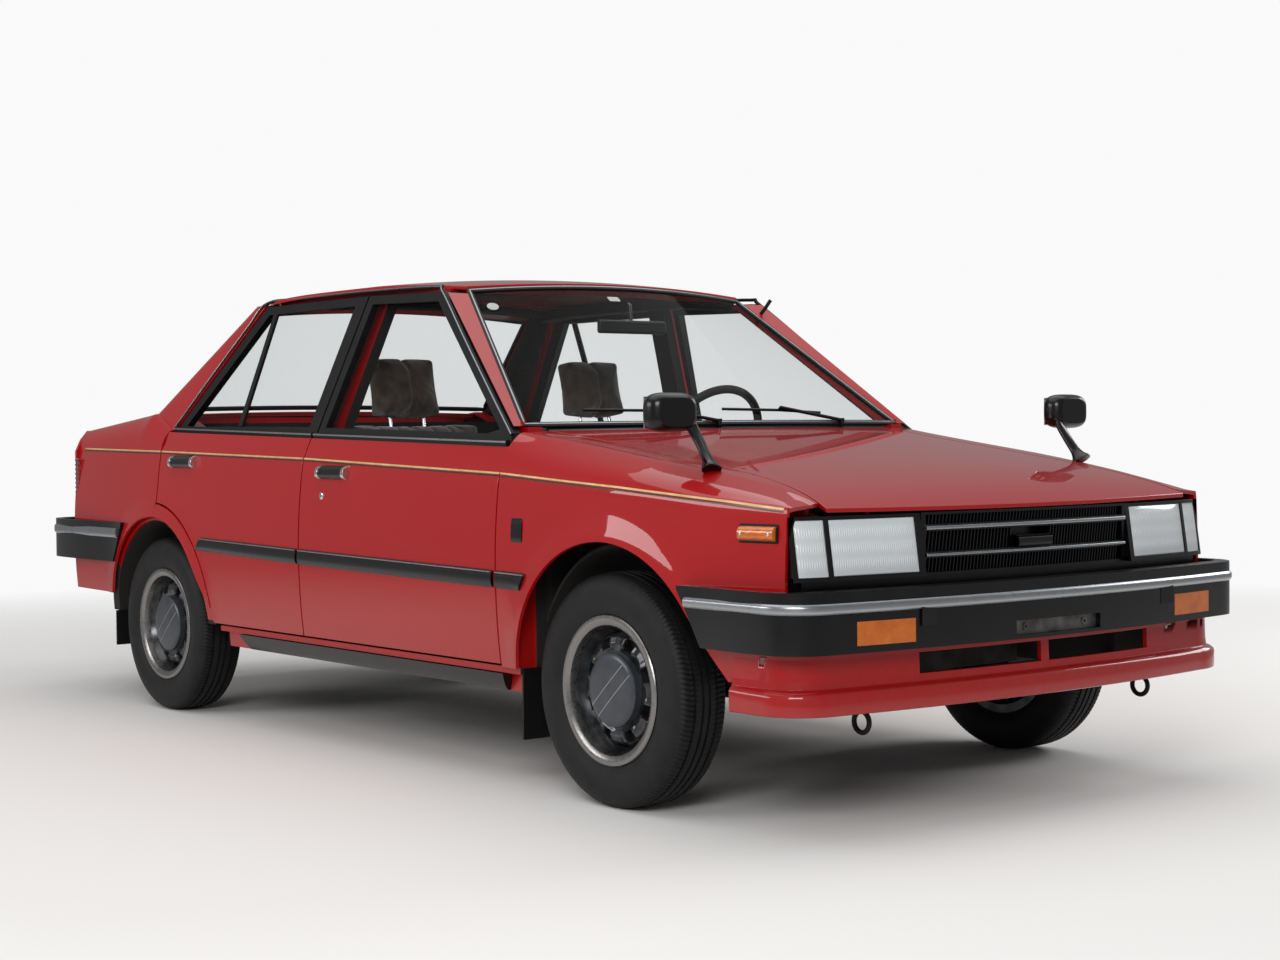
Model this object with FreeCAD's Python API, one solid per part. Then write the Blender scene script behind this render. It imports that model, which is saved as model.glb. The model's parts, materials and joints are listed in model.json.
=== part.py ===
"""A compact four-door sedan, modelled at full size in millimetres.

The row frame has its origin on the ground at the middle of the overall length. +X is the car's left,
-Y its front and +Z up. Stations along the car are measured rearwards from the front axle, which keeps
them readable, and every finished shape is moved by FRONT_AXLE_Y when it is written.
"""

import FreeCAD
import Part

import math
import os

V = FreeCAD.Vector

# ---------------------------------------------------------------- driving dimensions
WHEELBASE = 2400.0
FRONT_OVERHANG = 750.0
REAR_OVERHANG = 890.0
FRONT_AXLE_Y = -(WHEELBASE + REAR_OVERHANG - FRONT_OVERHANG) / 2
FRONT_TRACK = 1395.0
REAR_TRACK = 1375.0
TYRE_R = 285.0
TYRE_WIDTH = 157.0
HALF_WIDTH = 797.0  # widest body skin, at the side moulding
WIDEST_Z = 560.0

# shut lines and seats
SHUT = 6.0  # gap round every door, hood and lid
SEAT = 0.4  # clearance where one fixed piece seats on another
SKIN = 10.0  # depth of a folded outer panel

# stations, rearwards from the front axle
DOOR_FRONT = 428.0
DOOR_SPLIT = 1433.0
DOOR_REAR = 2371.0
SILL_REAR = 1975.0
TAIL = 3085.0
LAMP_FACE = -672.0  # foremost point of the grille and lamp face
FENDER_FRONT = -598.0

# heights
SILL_BOTTOM = 243.0
SILL_TOP = 309.0
DOOR_BOTTOM = SILL_TOP + SHUT + 1.0
BELT_FRONT = 872.0
BELT_RISE = 0.0232  # belt line's climb per millimetre rearwards
ROOF_TOP = 1372.0
FLOOR_Z = 262.0

# depth planes of the side structure
DOOR_INNER_X = 690.0
PILLAR_X = 720.0
REBATE_X = PILLAR_X + SHUT
CABIN_X = 660.0

# greenhouse
FRAME_DEPTH = 28.0
PILLAR_DEPTH = 47.0
GLASS_DEPTH = 11.0
GLASS_T = 5.0

# wheels
RIM_R = 164.6
KNUCKLE_X = 619.6  # steering axis at the height of the axle
KINGPIN_LEAN = math.radians(11.0)
SPINDLE_R = 18.0
SPINDLE_FIT = 0.05


# ---------------------------------------------------------------- the body's surfaces
def crease_z(y):
    """Height of the shoulder crease that carries the stripe."""
    return 734.0 + 0.05 * (y + 581.0) - 9.4e-6 * (y + 581.0) * (y - 1419.0)


def belt_z(y):
    return BELT_FRONT + BELT_RISE * (y - 434.0)


def half_width(y):
    """Widest half-section, drawn in towards the nose and the tail."""
    nose = max(0.0, (200.0 - y) / 800.0)
    tail = max(0.0, (y - 2100.0) / 1000.0)
    return HALF_WIDTH - 60.0 * nose**2 - 34.0 * tail**2


def side_x(y, z):
    """Outer skin below the crease: two parabolas that meet at the widest height."""
    if z > WIDEST_Z:
        return half_width(y) - 20.0 * ((z - WIDEST_Z) / 270.0) ** 2
    return half_width(y) - 16.0 * ((WIDEST_Z - z) / 250.0) ** 2


def hood_z(x, y):
    back = (440.0 - y) / 1080.0
    return 925.0 - 0.135 * (440.0 - y) - 37.0 * max(0.0, back) ** 8 - 12.0 * (x / 620.0) ** 2


def hood_edge(y):
    """Half-width of the hood, flared towards its front corners."""
    flare = max(0.0, (-300.0 - y) / 340.0)
    back = max(0.0, (y - 150.0) / 290.0)
    return 592.0 + 50.0 * flare**2 + 30.0 * back**2


def hood_front(x):
    return -668.0 + 42.0 * (x / 640.0) ** 2


def hood_rear(x):
    return 425.0 - 70.0 * (1.0 - (x / 620.0) ** 2)


def deck_z(x, y):
    return 990.0 - 0.098 * (y - 2601.0) - 18.0 * (x / 705.0) ** 2


def roof_z(x, y):
    front = max(0.0, (1350.0 - y) / 420.0)
    rear = max(0.0, (y - 1350.0) / 760.0)
    return ROOF_TOP - 30.0 * front**2 - 35.0 * rear**5 - 30.0 * (x / 560.0) ** 2


def cabin_x(y, z):
    """Outer face of the door frames above the belt, leaning in."""
    return 734.0 - 0.355 * (z - 905.0) - 8.0 * ((y - 1200.0) / 1000.0) ** 2


def lamp_face(x, z):
    """Plan curve and lean of the nose that the grille and lamps share."""
    return LAMP_FACE + 1.15e-4 * x * x + 0.15 * (z - 647.0)


def tail_face(x, z):
    return 3150.0 - 0.9e-4 * x * x - 0.06 * (z - 700.0)


# ---------------------------------------------------------------- building blocks
def box(x0, x1, y0, y1, z0, z1):
    return Part.makeBox(x1 - x0, y1 - y0, z1 - z0, V(x0, y0, z0))


def polygon(points):
    return Part.makePolygon([V(*p) for p in points] + [V(*points[0])])


def prism_x(outline, x0, x1):
    """An outline in (y, z), pushed from x0 to x1."""
    face = Part.Face(polygon([(x0, y, z) for y, z in outline]))
    return face.extrude(V(x1 - x0, 0, 0))


def prism_y(outline, y0, y1):
    """An outline in (x, z), pushed from y0 to y1."""
    face = Part.Face(polygon([(x, y0, z) for x, z in outline]))
    return face.extrude(V(0, y1 - y0, 0))


def cylinder_x(r, x0, x1, y, z):
    return Part.makeCylinder(r, x1 - x0, V(x0, y, z), V(1, 0, 0))


def rod(a, b, r):
    a, b = V(*a), V(*b)
    return Part.makeCylinder(r, (b - a).Length, a, b - a)


def facing_out(solid):
    """The same solid with its skin turned so that it bounds material, not a void."""
    return solid if solid.Volume > 0 else Part.makeSolid(solid.Shells[0].reversed())


def ruled(sections):
    """A solid through flat polygons that have the same number of corners, with folded sides."""
    faces = [Part.Face(polygon(sections[0])), Part.Face(polygon(sections[-1]))]
    for low, high in zip(sections, sections[1:]):
        for i in range(len(low)):
            j = (i + 1) % len(low)
            faces.append(Part.Face(polygon([low[i], low[j], high[i]])))
            faces.append(Part.Face(polygon([low[j], high[j], high[i]])))
    shell = Part.makeShell(faces)
    shell.sewShape()
    return facing_out(Part.makeSolid(shell))


def mirrored(shape):
    return shape.mirror(V(0, 0, 0), V(1, 0, 0))


def pair(shape):
    return [shape, mirrored(shape)]


def fused(shapes, merge_faces=True):
    whole = shapes[0]
    for shape in shapes[1:]:
        whole = whole.fuse(shape)
    return whole.removeSplitter() if merge_faces else whole


def slab(outer, inner):
    """A solid between two smooth grids of points, closed by ruled walls along their four edges."""
    skins = []
    for grid in (outer, inner):
        surface = Part.BSplineSurface()
        surface.interpolate([[V(*p) for p in row] for row in grid])
        skins.append(surface)
    faces = [s.toShape() for s in skins]
    u0, u1, v0, v1 = skins[0].bounds()
    for cut, ends in (("uIso", (u0, u1)), ("vIso", (v0, v1))):
        for end in ends:
            edges = [getattr(s, cut)(end).toShape() for s in skins]
            faces.append(Part.makeRuledSurface(*edges))
    shell = Part.makeShell(faces)
    shell.sewShape()
    return facing_out(Part.makeSolid(shell))


def spread(low, high, count):
    return [low + (high - low) * i / (count - 1) for i in range(count)]


def written(name, shapes):
    """Moves a node from the axle's stations to the row frame and writes it."""
    shapes = shapes if isinstance(shapes, list) else [shapes]
    solids = [s for shape in shapes for s in shape.Solids]
    moved = Part.makeCompound(solids) if len(solids) > 1 else solids[0].copy()
    moved.translate(V(0, FRONT_AXLE_Y, 0))
    moved.exportStep(f"parts/{name}.step")
    state = "ok" if all(s.isValid() for s in solids) else "INVALID"
    volume = sum(s.Volume for s in solids) / 1e6
    print(f"{name:24s} solids {len(solids):2d} litres {volume:8.3f} {state}")


# ---------------------------------------------------------------- wheel arches and shut lines
ARCH_FRONT = (-12.0, 285.0, 360.0)  # centre station, centre height, radius
ARCH_REAR = (2395.0, 287.0, 353.0)
ARCH_LIP = 41.0  # width of the painted lip in front of the rear wheel


def arch_cut(arch, low, forward):
    """The wheel opening: a circle, dropped straight behind and along a tangent in front."""
    y, z, r = arch
    circle = cylinder_x(r, 0, 900, y, z)
    reach = math.hypot(forward[0] - y, forward[1] - z)
    turn = math.asin(r / reach)
    slope = math.atan2(z - forward[1], y - forward[0]) + turn
    run = math.sqrt(reach**2 - r**2)
    touch = (forward[0] + run * math.cos(slope), forward[1] + run * math.sin(slope))
    toe = [forward, touch, (y, z), (y + r, z), (y + r, low), (forward[0], low)]
    return circle.fuse(prism_x(toe, 0, 900))


# ---------------------------------------------------------------- side panels
def lower_side(y0, y1, depth=0.0, inner_x=DOOR_INNER_X):
    """The side below the belt as a thick slab, from a depth under the skin to a flat inner plane."""
    rows = []
    for z in [295, 360, 430, 500, 560, 630, 700, 760, 800, 830, 860, 890, 930]:
        row = []
        for y in spread(y0, y1, 8):
            crease = crease_z(y)
            x = side_x(y, min(z, crease)) - 0.45 * max(0.0, z - crease)
            row.append((x - depth, y, float(z)))
        rows.append(row)
    inner = [[(inner_x, y, z) for _, y, z in row] for row in rows]
    return slab(rows, inner)


def cabin_slab(y0, y1, z0, z1, d0, d1):
    """A slab parallel to the leaning window plane, from depth d0 to d1."""
    outer = [[(cabin_x(y, z) - d0, y, z) for y in spread(y0, y1, 5)] for z in spread(z0, z1, 4)]
    inner = [[(x - (d1 - d0), y, z) for x, y, z in row] for row in outer]
    return slab(outer, inner)


def shoulder_profile(y, x_in, z_in, x_out, z_out, bottom):
    """Section of a fender or quarter: top, rounded shoulder, crease, side. Points as (x, z)."""
    crease = crease_z(y)
    x_crease = side_x(y, crease)
    top = [(x_in + (x_out - x_in) * t, z_in + (z_out - z_in) * t * t) for t in spread(0.0, 1.0, 4)]
    mid = [
        (x_out + 0.55 * (x_crease - x_out), z_out - 0.30 * (z_out - crease)),
        (x_out + 0.86 * (x_crease - x_out), z_out - 0.62 * (z_out - crease)),
        (x_crease, crease),
    ]
    side = [(side_x(y, z), z) for z in spread(crease, bottom, 8)[1:]]
    return top + mid + side


def inward(profile, depth):
    """Moves an open profile towards the inside by depth, along its own normals."""
    moved = []
    last = len(profile) - 1
    for i, (x, z) in enumerate(profile):
        ax, az = profile[max(0, i - 1)]
        bx, bz = profile[min(last, i + 1)]
        dx, dz = bx - ax, bz - az
        size = math.hypot(dx, dz)
        moved.append((x + depth * dz / size, z - depth * dx / size))
    return moved


def shoulder_slab(stations, profile_at, gap=0.0):
    """Skin of a fender or quarter; with a gap it is the room that the skin takes."""
    outer, inner = [], []
    for y in stations:
        profile = profile_at(y)
        outer.append([(x, y, z) for x, z in inward(profile, -gap)])
        inner.append([(x, y, z) for x, z in inward(profile, SKIN + gap)])
    return slab(outer, inner)


def fender_profile(y):
    x_in = hood_edge(y) + SHUT
    near = max(0.0, min(1.0, (y + 600.0) / 500.0))
    x_out = x_in + 22.0 + 70.0 * near
    z_out = min(hood_z(x_out, y) - 2.0, hood_z(x_in, y))
    z_out = max(z_out, crease_z(y) + 1.5)
    return shoulder_profile(y, x_in, hood_z(x_in, y), x_out, z_out, 300.0)


def quarter_profile(y):
    x_in = 592.0
    return shoulder_profile(y, x_in, deck_z(x_in, y), 706.0, deck_z(706.0, y) - 2.0, 370.0)


FENDER_STATIONS = [FENDER_FRONT, -540, -470, -380, -250, -80, 60, 190, 300, 370, DOOR_FRONT - SHUT]
QUARTER_STATIONS = [1955, 2100, 2250, 2377, 2520, 2660, 2800, 2900, 3000, TAIL]


def bonnet_room():
    """Plan of the hood's opening, kept free of the fenders."""
    points = [V(hood_edge(y) + SHUT, y, 500.0) for y in spread(-700.0, 440.0, 20)]
    side = Part.BSplineCurve()
    side.interpolate(points)
    rear, front = V(0, 440.0, 500.0), V(0, -700.0, 500.0)
    lines = [Part.makeLine(points[-1], rear), Part.makeLine(rear, front), Part.makeLine(front, points[0])]
    return Part.Face(Part.Wire([side.toShape()] + lines)).extrude(V(0, 0, 600.0))


def front_fender():
    skin = shoulder_slab(FENDER_STATIONS, fender_profile).cut(bonnet_room())
    skin = skin.cut(arch_cut(ARCH_FRONT, 200.0, (-470.0, 280.0)))
    below_nose = box(0, 900, -700, -300, 200, 342.0 + SEAT)
    below_door = box(0, 900, 200, 500, 200, SILL_TOP + SEAT)
    return skin.cut(below_nose).cut(below_door)


def quarter_panel():
    skin = shoulder_slab(QUARTER_STATIONS, quarter_profile)
    skin = skin.cut(box(0, 592, 2598, 3200, 300, 1100))
    y, z, r = ARCH_REAR
    skin = skin.cut(arch_cut(ARCH_REAR, 200.0, (SILL_REAR, 316.0)))
    lip = cylinder_x(r + ARCH_LIP, 0, 900, y, z)
    door_side = box(0, 900, 1900, DOOR_REAR + SHUT, 200, 1100).cut(lip)
    skin = skin.cut(door_side).cut(box(0, 900, 1900, 2200, 200, SILL_TOP + SEAT))
    return fused([skin, c_pillar()]).cut(rear_window_room()).cut(roof_panel(SEAT))


def c_pillar():
    """Broad rear pillar from the deck to the roof, flanged in to the rear window's edge."""
    sections = []
    for z in (925.0, 1318.0):
        share = (z - 917.0) / 408.0
        front = 2375.0 + SHUT - 396.0 * share
        rear = 2595.0 - 1.414 * (z - 960.0)
        rear = max(rear, front + 40.0)
        side = cabin_x(front, z) + 2.0
        edge = rear_glass_edge(z)
        sections.append(
            [
                (side, front, z),
                (side - 4.0, rear - 30.0, z),
                (side - 34.0, rear + 4.0, z),
                (edge + 2.0, rear + 14.0, z),
                (edge + 2.0, rear - 30.0, z),
                (side - 60.0, rear - 60.0, z),
                (side - 44.0, front, z),
            ]
        )
    return ruled(sections)


def rear_glass_edge(z):
    return 640.0 - 120.0 * (z - 985.0) / 315.0


# ---------------------------------------------------------------- glass
def screen_grid(low, high, depth):
    """A bowed screen: rows climb from the low edge to the high one, columns run across."""
    rows = []
    for t in spread(0.0, 1.0, 5):
        row = []
        for u in spread(-1.0, 1.0, 9):
            bow = 1.0 - u * u
            ends = []
            for half, y_end, y_bow, z_end, z_bow in (low, high):
                ends.append((half * u, y_end + y_bow * bow, z_end + z_bow * bow))
            point = [a + (b - a) * t for a, b in zip(*ends)]
            row.append((point[0], point[1] + depth[0], point[2] + depth[1]))
        rows.append(row)
    return rows


# half-width, station and height of the corners, with the bow of each at the middle
SCREEN_LOW = (680.0, 455.0, -58.0, 926.0, 2.0)
SCREEN_HIGH = (504.0, 962.0, -42.0, 1308.0, 22.0)
BACK_LOW = (636.0, 2552.0, 40.0, 992.0, 8.0)
BACK_HIGH = (520.0, 2120.0, 26.0, 1296.0, 26.0)


def windscreen():
    return slab(screen_grid(SCREEN_LOW, SCREEN_HIGH, (0, 0)), screen_grid(SCREEN_LOW, SCREEN_HIGH, (3.0, -4.0)))


def rear_window():
    return slab(screen_grid(BACK_LOW, BACK_HIGH, (0, 0)), screen_grid(BACK_LOW, BACK_HIGH, (-3.0, -4.0)))


def rear_window_room():
    """Space that the rear window and its rubber take, cut from what stands round it."""
    low = (BACK_LOW[0] + SEAT, BACK_LOW[1] + 4.0, BACK_LOW[2], BACK_LOW[3] - 4.0, BACK_LOW[4])
    high = (BACK_HIGH[0] + SEAT, *BACK_HIGH[1:])
    return slab(screen_grid(low, high, (6.0, 8.0)), screen_grid(low, high, (-6.0, -8.0)))


# ---------------------------------------------------------------- doors
FRONT_FRAME = [(434.0, 880.0), (440.0, 906.0), (962.0, 1304.0), (1356.5, 1313.0), (1429.0, 880.0)]
FRONT_WINDOW = [(560.0, 905.0), (500.0, 916.0), (973.0, 1277.0), (1327.0, 1286.0), (1388.0, 925.0)]
REAR_FRAME = [(1437.0, 880.0), (1364.5, 1313.0), (1984.0, 1312.0), (2371.0, 914.0), (2364.0, 880.0)]
REAR_WINDOW = [(1484.0, 928.0), (1425.0, 1286.0), (1955.0, 1285.0), (2300.0, 938.0), (2290.0, 934.0)]


def grown(outline, distance):
    """A convex outline moved outwards by distance; a negative distance moves it in."""
    count = len(outline)
    area = sum(
        outline[i][0] * outline[(i + 1) % count][1] - outline[(i + 1) % count][0] * outline[i][1]
        for i in range(count)
    )
    sign = 1.0 if area > 0 else -1.0
    moved = []
    for i in range(count):
        before, here, after = outline[i - 1], outline[i], outline[(i + 1) % count]
        lines = []
        for a, b in ((before, here), (here, after)):
            dy, dz = b[0] - a[0], b[1] - a[1]
            size = math.hypot(dy, dz)
            normal = (sign * dz / size, -sign * dy / size)
            lines.append((normal, a[0] * normal[0] + a[1] * normal[1] + distance))
        (n1, c1), (n2, c2) = lines
        det = n1[0] * n2[1] - n1[1] * n2[0]
        if abs(det) < 1e-6:
            moved.append((here[0] + n1[0] * distance, here[1] + n1[1] * distance))
        else:
            moved.append(((c1 * n2[1] - c2 * n1[1]) / det, (n1[0] * c2 - n2[0] * c1) / det))
    return moved


def door(y0, y1, frame, window):
    """Skin and inner box below the belt, with a stepped edge, and the window frame above."""
    lower = lower_side(y0 - 20.0, y1 + 20.0)
    top = [(y1, belt_z(y1)), (y0, belt_z(y0))]
    lower = lower.common(prism_x([(y0, DOOR_BOTTOM), (y1, DOOR_BOTTOM)] + top, 600, 900))
    edge = 50.0
    inside = [(y0 + edge, DOOR_BOTTOM + 34.0), (y1 - edge, DOOR_BOTTOM + 34.0)]
    inside += [(y1 - edge, 1000.0), (y0 + edge, 1000.0)]
    border = box(600, REBATE_X, y0 - 30, y1 + 30, 280, 1000).cut(prism_x(inside, 590, 910))
    lower = lower.cut(border).cut(box(600, REBATE_X + 45.0, y1 - 7.0, y1 + 30, 280, 1000))
    upper = cabin_slab(y0 - 10, y1 + 10, 850.0, 1330.0, 0.0, FRAME_DEPTH)
    upper = upper.common(prism_x(frame, 400, 900)).cut(prism_x(window, 400, 900))
    behind = cabin_slab(y0 - 40, y1 + 40, 840.0, 1340.0, 9.0, FRAME_DEPTH + 10.0)
    step = prism_x(grown(frame, 30.0), 400, 900).cut(prism_x(grown(frame, -13.0), 400, 900))
    step = step.cut(box(400, 900, 0, 3000, 0, 940.0))
    upper = upper.cut(behind.common(step))
    return fused([lower, upper])


def door_glass(window):
    y0, y1 = min(p[0] for p in window), max(p[0] for p in window)
    plate = cabin_slab(y0 - 10, y1 + 10, 880.0, 1320.0, GLASS_DEPTH, GLASS_DEPTH + GLASS_T)
    return plate.common(prism_x(grown(window, -SEAT), 400, 900))


def front_door():
    return door(DOOR_FRONT, DOOR_SPLIT - SHUT / 2, FRONT_FRAME, FRONT_WINDOW)


def rear_door():
    shape = door(DOOR_SPLIT + SHUT / 2, DOOR_REAR, REAR_FRAME, REAR_WINDOW)
    y, z, r = ARCH_REAR
    outer = cylinder_x(r + ARCH_LIP + SHUT, 0, 900, y, z)
    inner = cylinder_x(r + ARCH_LIP + 48.0, 0, REBATE_X, y, z)
    return shape.cut(outer).cut(inner)


# ---------------------------------------------------------------- horizontal panels
def hood():
    top = []
    for v in spread(0.0, 1.0, 12):
        row = []
        for u in spread(-1.0, 1.0, 9):
            guess = 440.0 - 1080.0 * v
            x = u * hood_edge(guess)
            y = hood_rear(x) + (hood_front(x) - hood_rear(x)) * v
            x = u * hood_edge(y)
            row.append((x, y, hood_z(x, y)))
        top.append(row)
    under = []
    for i, row in enumerate(top):
        depth = 18.0 - 8.0 * (i / 11.0) ** 4
        under.append([(x, y, z - depth) for x, y, z in row])
    return slab(top, under)


def lid_front(x):
    """Front edge of the trunk lid in plan."""
    return 2600.0 + 42.0 * (1.0 - (x / 640.0) ** 2)


LID_HALF = 592.0 - SHUT
LID_DEPTH = 18.0
LID_DROP = 76.0  # height of the face that turns down over the tail


def lid_rear(x):
    return tail_face(x, 900.0) - 8.0


def trunk_lid():
    """Deck lid whose rear edge turns down over the tail."""
    deck, face_out, face_in = [], [], []
    across = spread(-LID_HALF, LID_HALF, 9)
    for v in spread(0.0, 1.0, 8):
        ys = [lid_front(x) + (lid_rear(x) - lid_front(x)) * v for x in across]
        deck.append([(x, y, deck_z(x, y)) for x, y in zip(across, ys)])
    for v in spread(0.0, 1.0, 4):
        row = [(x, lid_rear(x), deck_z(x, lid_rear(x)) - 4.0 - (LID_DROP - 4.0) * v) for x in across]
        face_out.append(row)
        face_in.append([(x, y - 14.0, z) for x, y, z in row])
    under = [[(x, y, z - LID_DEPTH) for x, y, z in row] for row in deck]
    return fused([slab(deck, under), slab(face_out, face_in)], False)


def roof_panel(gap=0.0):
    """Roof skin; with a gap it is the room that the roof takes from the frame under it."""
    top = []
    for v in spread(0.0, 1.0, 13):
        row = []
        for u in spread(-1.0, 1.0, 11):
            front = (512.0 + SCREEN_HIGH[0]) / 2
            half = front + (578.0 - front) * min(1.0, v / 0.16) if v < 0.16 else 578.0
            half -= 52.0 * max(0.0, (v - 0.84) / 0.16)
            x = (half + gap) * u
            y0 = SCREEN_HIGH[1] + 4.0 + SCREEN_HIGH[2] * (1.0 - (x / 504.0) ** 2 if abs(x) < 504 else 0.0)
            y1 = BACK_HIGH[1] - 4.0 + BACK_HIGH[2] * (1.0 - (x / 520.0) ** 2 if abs(x) < 520 else 0.0)
            y = y0 - gap + (y1 - y0 + 2.0 * gap) * v
            row.append((x, y, roof_z(x, y)))
        top.append(row)
    under = [[(x, y, z - roof_depth(x) - gap) for x, y, z in row] for row in top]
    above = [[(x, y, z + 5.0 * gap) for x, y, z in row] for row in top]
    return slab(above, under)


def roof_depth(x):
    """The roof panel thins towards its sides, over the door frames."""
    return 16.0 - 8.0 * min(1.0, abs(x) / 578.0) ** 4


# ---------------------------------------------------------------- body frame
def sloped_post(sections):
    return ruled([[(x, y, z) for x, y in corners] for z, corners in sections])


def a_pillar():
    """Windscreen pillar between the screen's edge and the front door's frame."""
    sections = []
    for z in (924.0, 1300.0):
        share = (z - 926.0) / (SCREEN_HIGH[3] - SCREEN_LOW[3])
        x_glass = SCREEN_LOW[0] + (SCREEN_HIGH[0] - SCREEN_LOW[0]) * share + SEAT
        y_glass = SCREEN_LOW[1] + (SCREEN_HIGH[1] - SCREEN_LOW[1]) * share
        y_door = 440.0 + (z - 906.0) * 522.0 / 398.0
        x_door = cabin_x(y_door, z)
        behind = min(x_glass - 1.0, x_door - 62.0)
        corners = [(x_glass, y_glass - 4.0), (x_door - 3.0, y_door - 18.0), (x_door - 34.0, y_door - 10.0)]
        corners += [(x_door - 46.0, y_door + 40.0), (behind, y_door + 40.0), (x_glass, y_glass + 12.0)]
        sections.append((z, corners))
    return sloped_post(sections)


def b_pillar():
    lower = box(CABIN_X, PILLAR_X, 1388.0, 1478.0, 275.0, 850.0)
    upper = cabin_slab(1300.0, 1500.0, 830.0, 1312.0, PILLAR_DEPTH, 90.0)
    upper = upper.common(prism_x([(1390, 830), (1476, 830), (1400, 1312), (1326, 1312)], 400, 900))
    return [lower, upper]


def roof_slab(x0, x1, y0, y1, top, thickness):
    """A piece that follows the roof's curve at a depth under its skin."""
    upper = []
    for y in spread(y0, y1, 9):
        upper.append([(x, y, roof_z(x, y) - top(x)) for x in spread(x0, x1, 4)])
    lower = [[(x, y, z - thickness) for x, y, z in row] for row in upper]
    return slab(upper, lower)


def roof_rail():
    """Side rail under the roof panel's edge, its gutter and the two cross members."""
    inner = roof_slab(478.0, 536.0, 1010.0, 1985.0, lambda x: roof_depth(x) - 2.0, 36.0)
    shelf = roof_slab(520.0, 586.0, 1150.0, 1900.0, lambda x: roof_depth(x) - 2.0, 5.5)
    gutter = roof_slab(576.0, 589.0, 1135.0, 1930.0, lambda x: 2.0, 9.5)
    return [fused([inner, shelf, gutter], False).cut(roof_panel(SEAT))]


def fender_rail():
    """Rail that the fender bolts to, along the bonnet opening, and the inner panel below it."""
    upper = []
    for y in spread(-560.0, 330.0, 7):
        x_in = hood_edge(y) + SHUT
        row = []
        for across in (2.0, 8.0, 14.0):
            row.append((x_in + across, y, hood_z(x_in, y) - SKIN - 0.6 - 0.14 * across))
        upper.append(row)
    lower = [[(x, y, z - 26.0) for x, y, z in row] for row in upper]
    outline = [(330, 600), (330, 862), (-250, 786), (-560, 716), (-596, 640), (-596, 600)]
    room = shoulder_slab(FENDER_STATIONS, fender_profile, SEAT)
    return [slab(upper, lower).fuse(prism_x(outline, 600.0, 612.0)).cut(room)]


def front_structure():
    y, z, r = ARCH_FRONT
    liner = cylinder_x(r - 6.0, 445.0, 722.0, y, z).cut(cylinder_x(r - 14.0, 440.0, 730.0, y, z))
    liner = liner.common(box(440, 730, -400, 331, 430.0, 700))
    parts = [liner, box(425, 446, -600, 345, 400, 700), box(400, 445, -600, 346, 300, 405)]
    parts += [box(440, 600, 318, 345, 600, 850), box(440, 589, -600, -560, 420, 690), box(560, 606, -596, -560, 600, 638)]
    parts += [box(490, 612, -75, 75, 625.0, 650.0)]
    return parts + fender_rail()


def rear_structure():
    """Wheel housing with the folds that carry the quarter panel round the arch."""
    y, z, r = ARCH_REAR
    ring = cylinder_x(r + 77.0, 560.0, PILLAR_X, y, z).cut(cylinder_x(r - 12.0, 574.0, 900.0, y, z))
    fold = lower_side(1940.0, 2800.0, SKIN + SEAT, PILLAR_X - 2.0)
    fold = fold.common(cylinder_x(r + ARCH_LIP - 4.0, 700.0, 900.0, y, z))
    fold = fold.cut(cylinder_x(r - 12.0, 690.0, 900.0, y, z))
    rebate = box(CABIN_X, PILLAR_X, DOOR_REAR - 44.0, 2440.0, 600.0, 870.0)
    flange = lower_side(2377.0, 2450.0, SKIN + SEAT, PILLAR_X - 2.0).common(box(600, 900, 2378, 2440, 700, 850))
    low = box(400, 900, 1800, 3100, -400, 309.0)
    room = shoulder_slab(QUARTER_STATIONS, quarter_profile, SEAT)
    return [fused([ring, fold, rebate, flange]).cut(low).cut(room)]


def side_frame():
    """Sill, posts and rails of one side."""
    section = [(771, SILL_TOP), (771, 293), (742, 287), (738, SILL_BOTTOM)]
    section += [(CABIN_X, SILL_BOTTOM), (CABIN_X, SILL_TOP)]
    parts = [prism_y(section, 352.0, SILL_REAR)]
    parts += [box(640.0, PILLAR_X, 352.0, DOOR_FRONT + 44.0, 262.0, 850.0)]
    parts += [box(640.0, 690.0, 330.0, 360.0, 320.0, 850.0)]
    post = lower_side(340.0, 430.0, SKIN + SEAT, 700.0)
    post = post.common(box(700, 900, 362.0, DOOR_FRONT - SHUT - 2.0, SILL_TOP - 2.0, 640.0))
    parts += [post.cut(shoulder_slab(FENDER_STATIONS, fender_profile, SEAT))]
    parts += [box(642.0, 687.0, 428.0, 476.0, 840.0, 921.0), a_pillar()]
    parts += [box(SCREEN_LOW[0] + SEAT + 0.8, 687.0, 450.0, 476.0, 910.0, 935.0)]
    parts += [box(505.0, 538.0, 975.0, 1030.0, 1284.0, 1299.0)]
    parts += b_pillar() + roof_rail() + front_structure() + rear_structure()
    for y, depth in ((DOOR_FRONT, 44.0), (DOOR_SPLIT + SHUT / 2, 42.0)):
        for z in (420.0, 700.0):
            parts.append(box(696.0, PILLAR_X - 4.0, y + depth - 4.0, y + 50.0 - SEAT, z, z + 60.0))
    parts.append(box(CABIN_X, DOOR_INNER_X - SHUT, SILL_REAR - 20, 2440.0, 835.0, 850.0))
    return parts


def deck_bridge():
    """Painted panel between the rear window and the trunk lid, with the shelf inside."""
    rows = []
    for v in spread(0.0, 1.0, 4):
        row = []
        for x in spread(-592.0 + SEAT, 592.0 - SEAT, 9):
            u = x / BACK_LOW[0]
            y0 = BACK_LOW[1] + BACK_LOW[2] * (1.0 - u * u) + 3.0
            y1 = lid_front(x) - SHUT
            y = y0 + (y1 - y0) * v
            row.append((x, y, deck_z(x, y) - 6.0 * (1.0 - v)))
        rows.append(row)
    under = [[(x, y, z - 13.0) for x, y, z in row] for row in rows]
    shelf = box(-575.0, 575.0, 2330.0, 2600.0, 935.0, 945.0)
    riser = box(-560.0, 560.0, 2575.0, 2598.0, 940.0, 965.0)
    return [slab(rows, under), shelf, riser]


TAIL_WALL = 3055.0  # rear face of the inner wall behind the boot


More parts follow.
